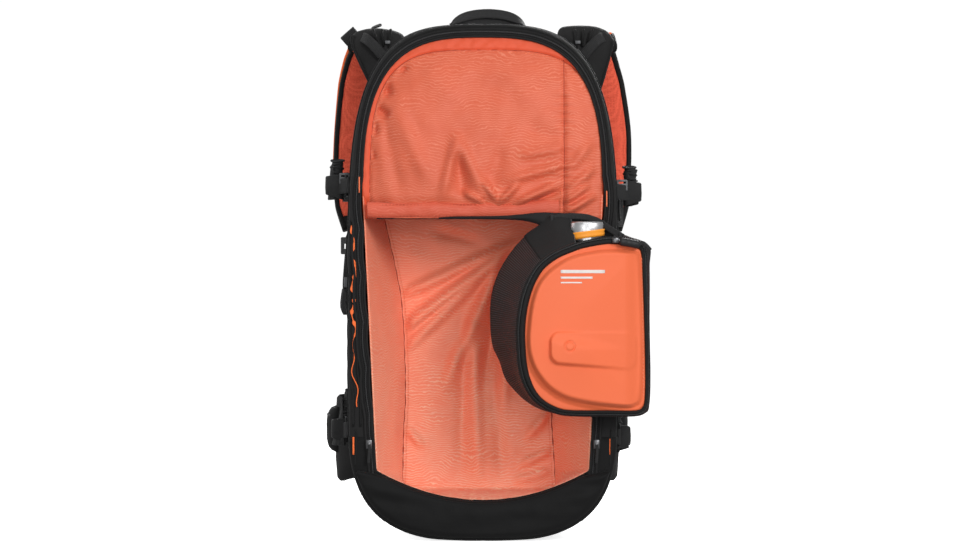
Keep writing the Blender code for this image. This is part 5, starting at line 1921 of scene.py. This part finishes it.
def make_back_pads():
    for side, name in SIDES:
        low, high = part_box(f"back_pad_{name}")
        outline = []
        inner, outer = (low.x, high.x) if side > 0 else (high.x, low.x)
        for u, z in (
            (0.06, low.z + 0.004), (0.5, low.z), (0.94, low.z + 0.006), (1.0, low.z + 0.06), (0.98, 0.30),
            (0.98, 0.40), (0.90, high.z - 0.010), (0.6, high.z), (0.2, high.z - 0.004), (0.02, high.z - 0.03),
            (0.0, 0.40), (0.0, 0.30), (0.0, low.z + 0.05)
        ):
            outline.append((mix(inner, outer, u), z))
        if side < 0:
            outline.reverse()
        ring = closed_curve(outline, 150)
        middle = Vector(((low.x + high.x) / 2, (low.z + high.z) / 2))
        thick = high.y - low.y
        rows = []
        shares = [0.03, 0.2, 0.4, 0.6, 0.8, 0.92, 1.0]
        fine = [1.0, 0.995, 0.98, 0.96, 0.93] + list(np.linspace(0.90, 0.03, 44))
        for s in shares:
            rows.append([Vector((mix(middle.x, p.x, s), low.y, mix(middle.y, p.y, s))) for p in ring])
        for s in fine:
            row = []
            for p in ring:
                x, z = mix(middle.x, p.x, s), mix(middle.y, p.y, s)
                dome = (1 - s**6) ** 0.5
                channel = 0.0060 * math.exp(
                    -(((z - low.z) % 0.061 - 0.0305) / 0.0045) ** 2
                ) * smooth(1.0, 0.90, s)
                row.append(
                    Vector(
                        (
                            x,
                            low.y + max(
                                thick * dome - channel + 0.0005 * wander(x, 1, z, 0.02) - 0.0006, 0.0002
                            ),
                            z
                        )
                    )
                )
            rows.append(row)
        pad = grid(f"back_cushion_{name}", rows, M["pad_mesh"], "pack", wrap=True, caps=True)
        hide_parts(f"back_pad_{name}")
        piping = [p for p in ring] + [ring[0]]
        joined(
            f"back_pad_piping_{name}",
            [
                tube_rings([Vector((p.x, low.y + 0.0014, p.y)) for p in piping], 0.0018, 8)
            ], M["tape"]
        )
    low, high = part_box("lumbar_pad")
    outline = [
        (-0.080, low.z + 0.010), (-0.050, low.z), (0.0, low.z + 0.002), (0.050, low.z),
        (0.080, low.z + 0.010), (high.x, 0.120), (0.082, high.z - 0.012), (0.050, high.z - 0.002),
        (0.0, high.z - 0.010), (-0.050, high.z - 0.002), (-0.082, high.z - 0.012), (low.x, 0.120)
    ]
    pad = cushion(
        "lumbar_cushion", outline, (low.y + high.y) / 2, high.y - low.y, M["pad_mesh"], "pack", as_seen=False,
        folds=0.0006, edge=0.35
    )
    puffed(pad, LUMBAR_SWELL)
    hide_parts("lumbar_pad")
    ring = closed_curve(outline, 120)
    joined(
        "lumbar_piping",
        [
            tube_rings([Vector((p.x, low.y + 0.0030, p.y)) for p in ring + [ring[0]]], 0.0020, 8)
        ], M["tape"]
    )


CABLE_RADIUS = 0.0020
STERNUM_PLANE = 0.1975
STERNUM_SLIDER_X = 0.126


def make_chest():
    """The sternum strap, and the airbag's trigger with its cable."""
    for name, body, x0, x1 in (("left", "sternum_strap", -0.1215, -0.0190), ("right", None, 0.0275, 0.1215)):
        low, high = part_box(f"sternum_strap_{name}")
        height, y = (low.z + high.z) / 2, STERNUM_PLANE
        path = [
            Vector((mix(x0, x1, k / 39), y + 0.0012 * math.sin(math.pi * k / 39), height)) for k in range(40)
        ]
        web = joined(
            f"sternum_web_{name}", [ribbon_rings(path, (0, 0, 1), 0.0195, 0.0016)],
            M["webbing"], body
        )
        if name == "right":
            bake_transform(web)
            middle_x = STERNUM_SLIDER_X
        else:
            middle_x = -STERNUM_SLIDER_X
        slider = block(
            (middle_x - 0.007, y - 0.0020, height - 0.013), (middle_x + 0.007, y + 0.0040, height + 0.013)
        )
        glide = joined(
            f"sternum_slider_{name}", [slider], M["plastic"], "sternum_strap"
        )
        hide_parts(f"sternum_strap_{name}")
    # The inner wire rides on the handle, and draws out of the cable's housing as the handle is pulled.
    low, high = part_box("trigger_cable")
    x, y = low.x + CABLE_RADIUS, high.y - CABLE_RADIUS
    route = [Vector((x, y, low.z + rise)) for rise in (-0.0040, 0.0150, 0.0305)]
    joined(
        "trigger_wire", [tube_rings(route, CABLE_RADIUS / 2, 8)], M["metal"], "trigger_handle",
    )
    finish_with("plastic", "sternum_buckle", "sternum_clip", "trigger_cable")
    finish_with("orange_plastic", "trigger_handle")
    finish_with("metal", "frame_stay")
    finish_with("grey_plastic", "frame_sheet")


def make_zip_sliders():
    for name in ("left", "right"):
        low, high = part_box(f"zip_slider_{name}")
        x, top = (low.x + high.x) / 2, high.z
        parts = [
            block((x - 0.0034, high.y - 0.0020, top - 0.0100), (x + 0.0034, high.y + 0.0004, top)),
            block((x - 0.0016, high.y - 0.0034, top - 0.0085), (x + 0.0016, high.y - 0.0018, top - 0.0030)),
        ]
        slider = joined(f"main_zip_slider_{name}", parts, M["metal_dark"], f"zip_slider_{name}")
        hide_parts(f"zip_slider_{name}")
        cord = curve_through(
            [
                Vector((x, high.y - 0.0034, top - 0.0050)),
                Vector((x + 0.0006, high.y - 0.0038, top - 0.0120)),
                Vector((x - 0.0004, high.y - 0.0034, top - 0.0260))
            ],
            20
        )
        joined(
            f"main_zip_pull_{name}", [ribbon_rings(cord, (1, 0, 0), 0.0038, 0.0016)], M["webbing"],
            f"zip_slider_{name}"
        )


# ---------------------------------------------------------------- camera, light and floor


# How bright the white world is as a light, and as the camera sees it.
WORLD_LIGHT, WORLD_SEEN = 0.44, 1.02
# Each soft light: place, width and watts. All of them face the middle of the pack.
LIGHTS = {
    "key": ((1.6, -2.8, 1.6), 1.1, 62),
    "fill": ((-0.2, -3.9, 0.35), 2.2, 62),
    "top": ((0.0, -0.2, 2.4), 1.4, 6),
    "back": ((0.6, 2.6, 1.6), 1.6, 80),
    "side": ((-2.6, 0.6, 1.4), 1.6, 26),
}
LIGHTS_AIM = Vector((0, 0, 0.3))
FLOOR_REACH = 60
FLOOR_GLOW = 0.80


def make_stage():
    camera = bpy.data.objects.new("camera", bpy.data.cameras.new("camera"))
    camera.data.sensor_width = SENSOR
    camera.data.lens = SENSOR * CAMERA_GAP / VIEW_WIDTH
    camera.location = EYE
    camera.rotation_euler = (math.pi / 2, 0, 0)
    bpy.context.scene.collection.objects.link(camera)
    bpy.context.scene.camera = camera
    bpy.context.scene.view_settings.view_transform = "Standard"

    world = bpy.data.worlds.new("studio")
    bpy.context.scene.world = world
    world.use_nodes = True
    background = world.node_tree.nodes["Background"]
    background.inputs["Color"].default_value = (1.0, 1.0, 1.0, 1.0)
    path = world.node_tree.nodes.new("ShaderNodeLightPath")
    strength = world.node_tree.nodes.new("ShaderNodeMix")
    strength.data_type = "FLOAT"
    strength.inputs[2].default_value = WORLD_LIGHT
    strength.inputs[3].default_value = WORLD_SEEN
    world.node_tree.links.new(path.outputs["Is Camera Ray"], strength.inputs[0])
    world.node_tree.links.new(strength.outputs[0], background.inputs["Strength"])

    for name, (place, size, power) in LIGHTS.items():
        lamp = bpy.data.objects.new(name, bpy.data.lights.new(name, "AREA"))
        lamp.data.size = size
        lamp.data.energy = power
        lamp.location = place
        lamp.rotation_euler = (LIGHTS_AIM - Vector(place)).to_track_quat("-Z", "Y").to_euler()
        bpy.context.scene.collection.objects.link(lamp)

    mesh = bpy.data.meshes.new("floor")
    corners = [(x * FLOOR_REACH, y * FLOOR_REACH, 0) for x, y in ((-1, -1), (1, -1), (1, 1), (-1, 1))]
    mesh.from_pydata(corners, [], [(0, 1, 2, 3)])
    floor = bpy.data.objects.new("floor", mesh)
    bpy.context.scene.collection.objects.link(floor)
    g = Graph("pale_floor", (0.94, 0.94, 0.94), 0.9)
    g.shader.inputs["Emission Color"].default_value = (1, 1, 1, 1)
    g.shader.inputs["Emission Strength"].default_value = FLOOR_GLOW
    mesh.materials.append(g.material)
    floor.visible_diffuse = False
    floor.visible_glossy = False


make_stage()
make_shell()
make_zip()
make_side_slits()
make_lining()
make_pouch()
make_hem()
make_front_panel()
pod_far = make_pod_lid()
make_pod_case(pod_far)
make_pod_slider()
make_sleeve()
for side, name in SIDES:
    make_strap(side, name)
    make_strap_webbing(side, name)
    make_yoke(side, name)
    make_hip_wing(side, name)
make_haul_loop()
make_side_hardware()
make_back_pads()
make_chest()
make_zip_sliders()
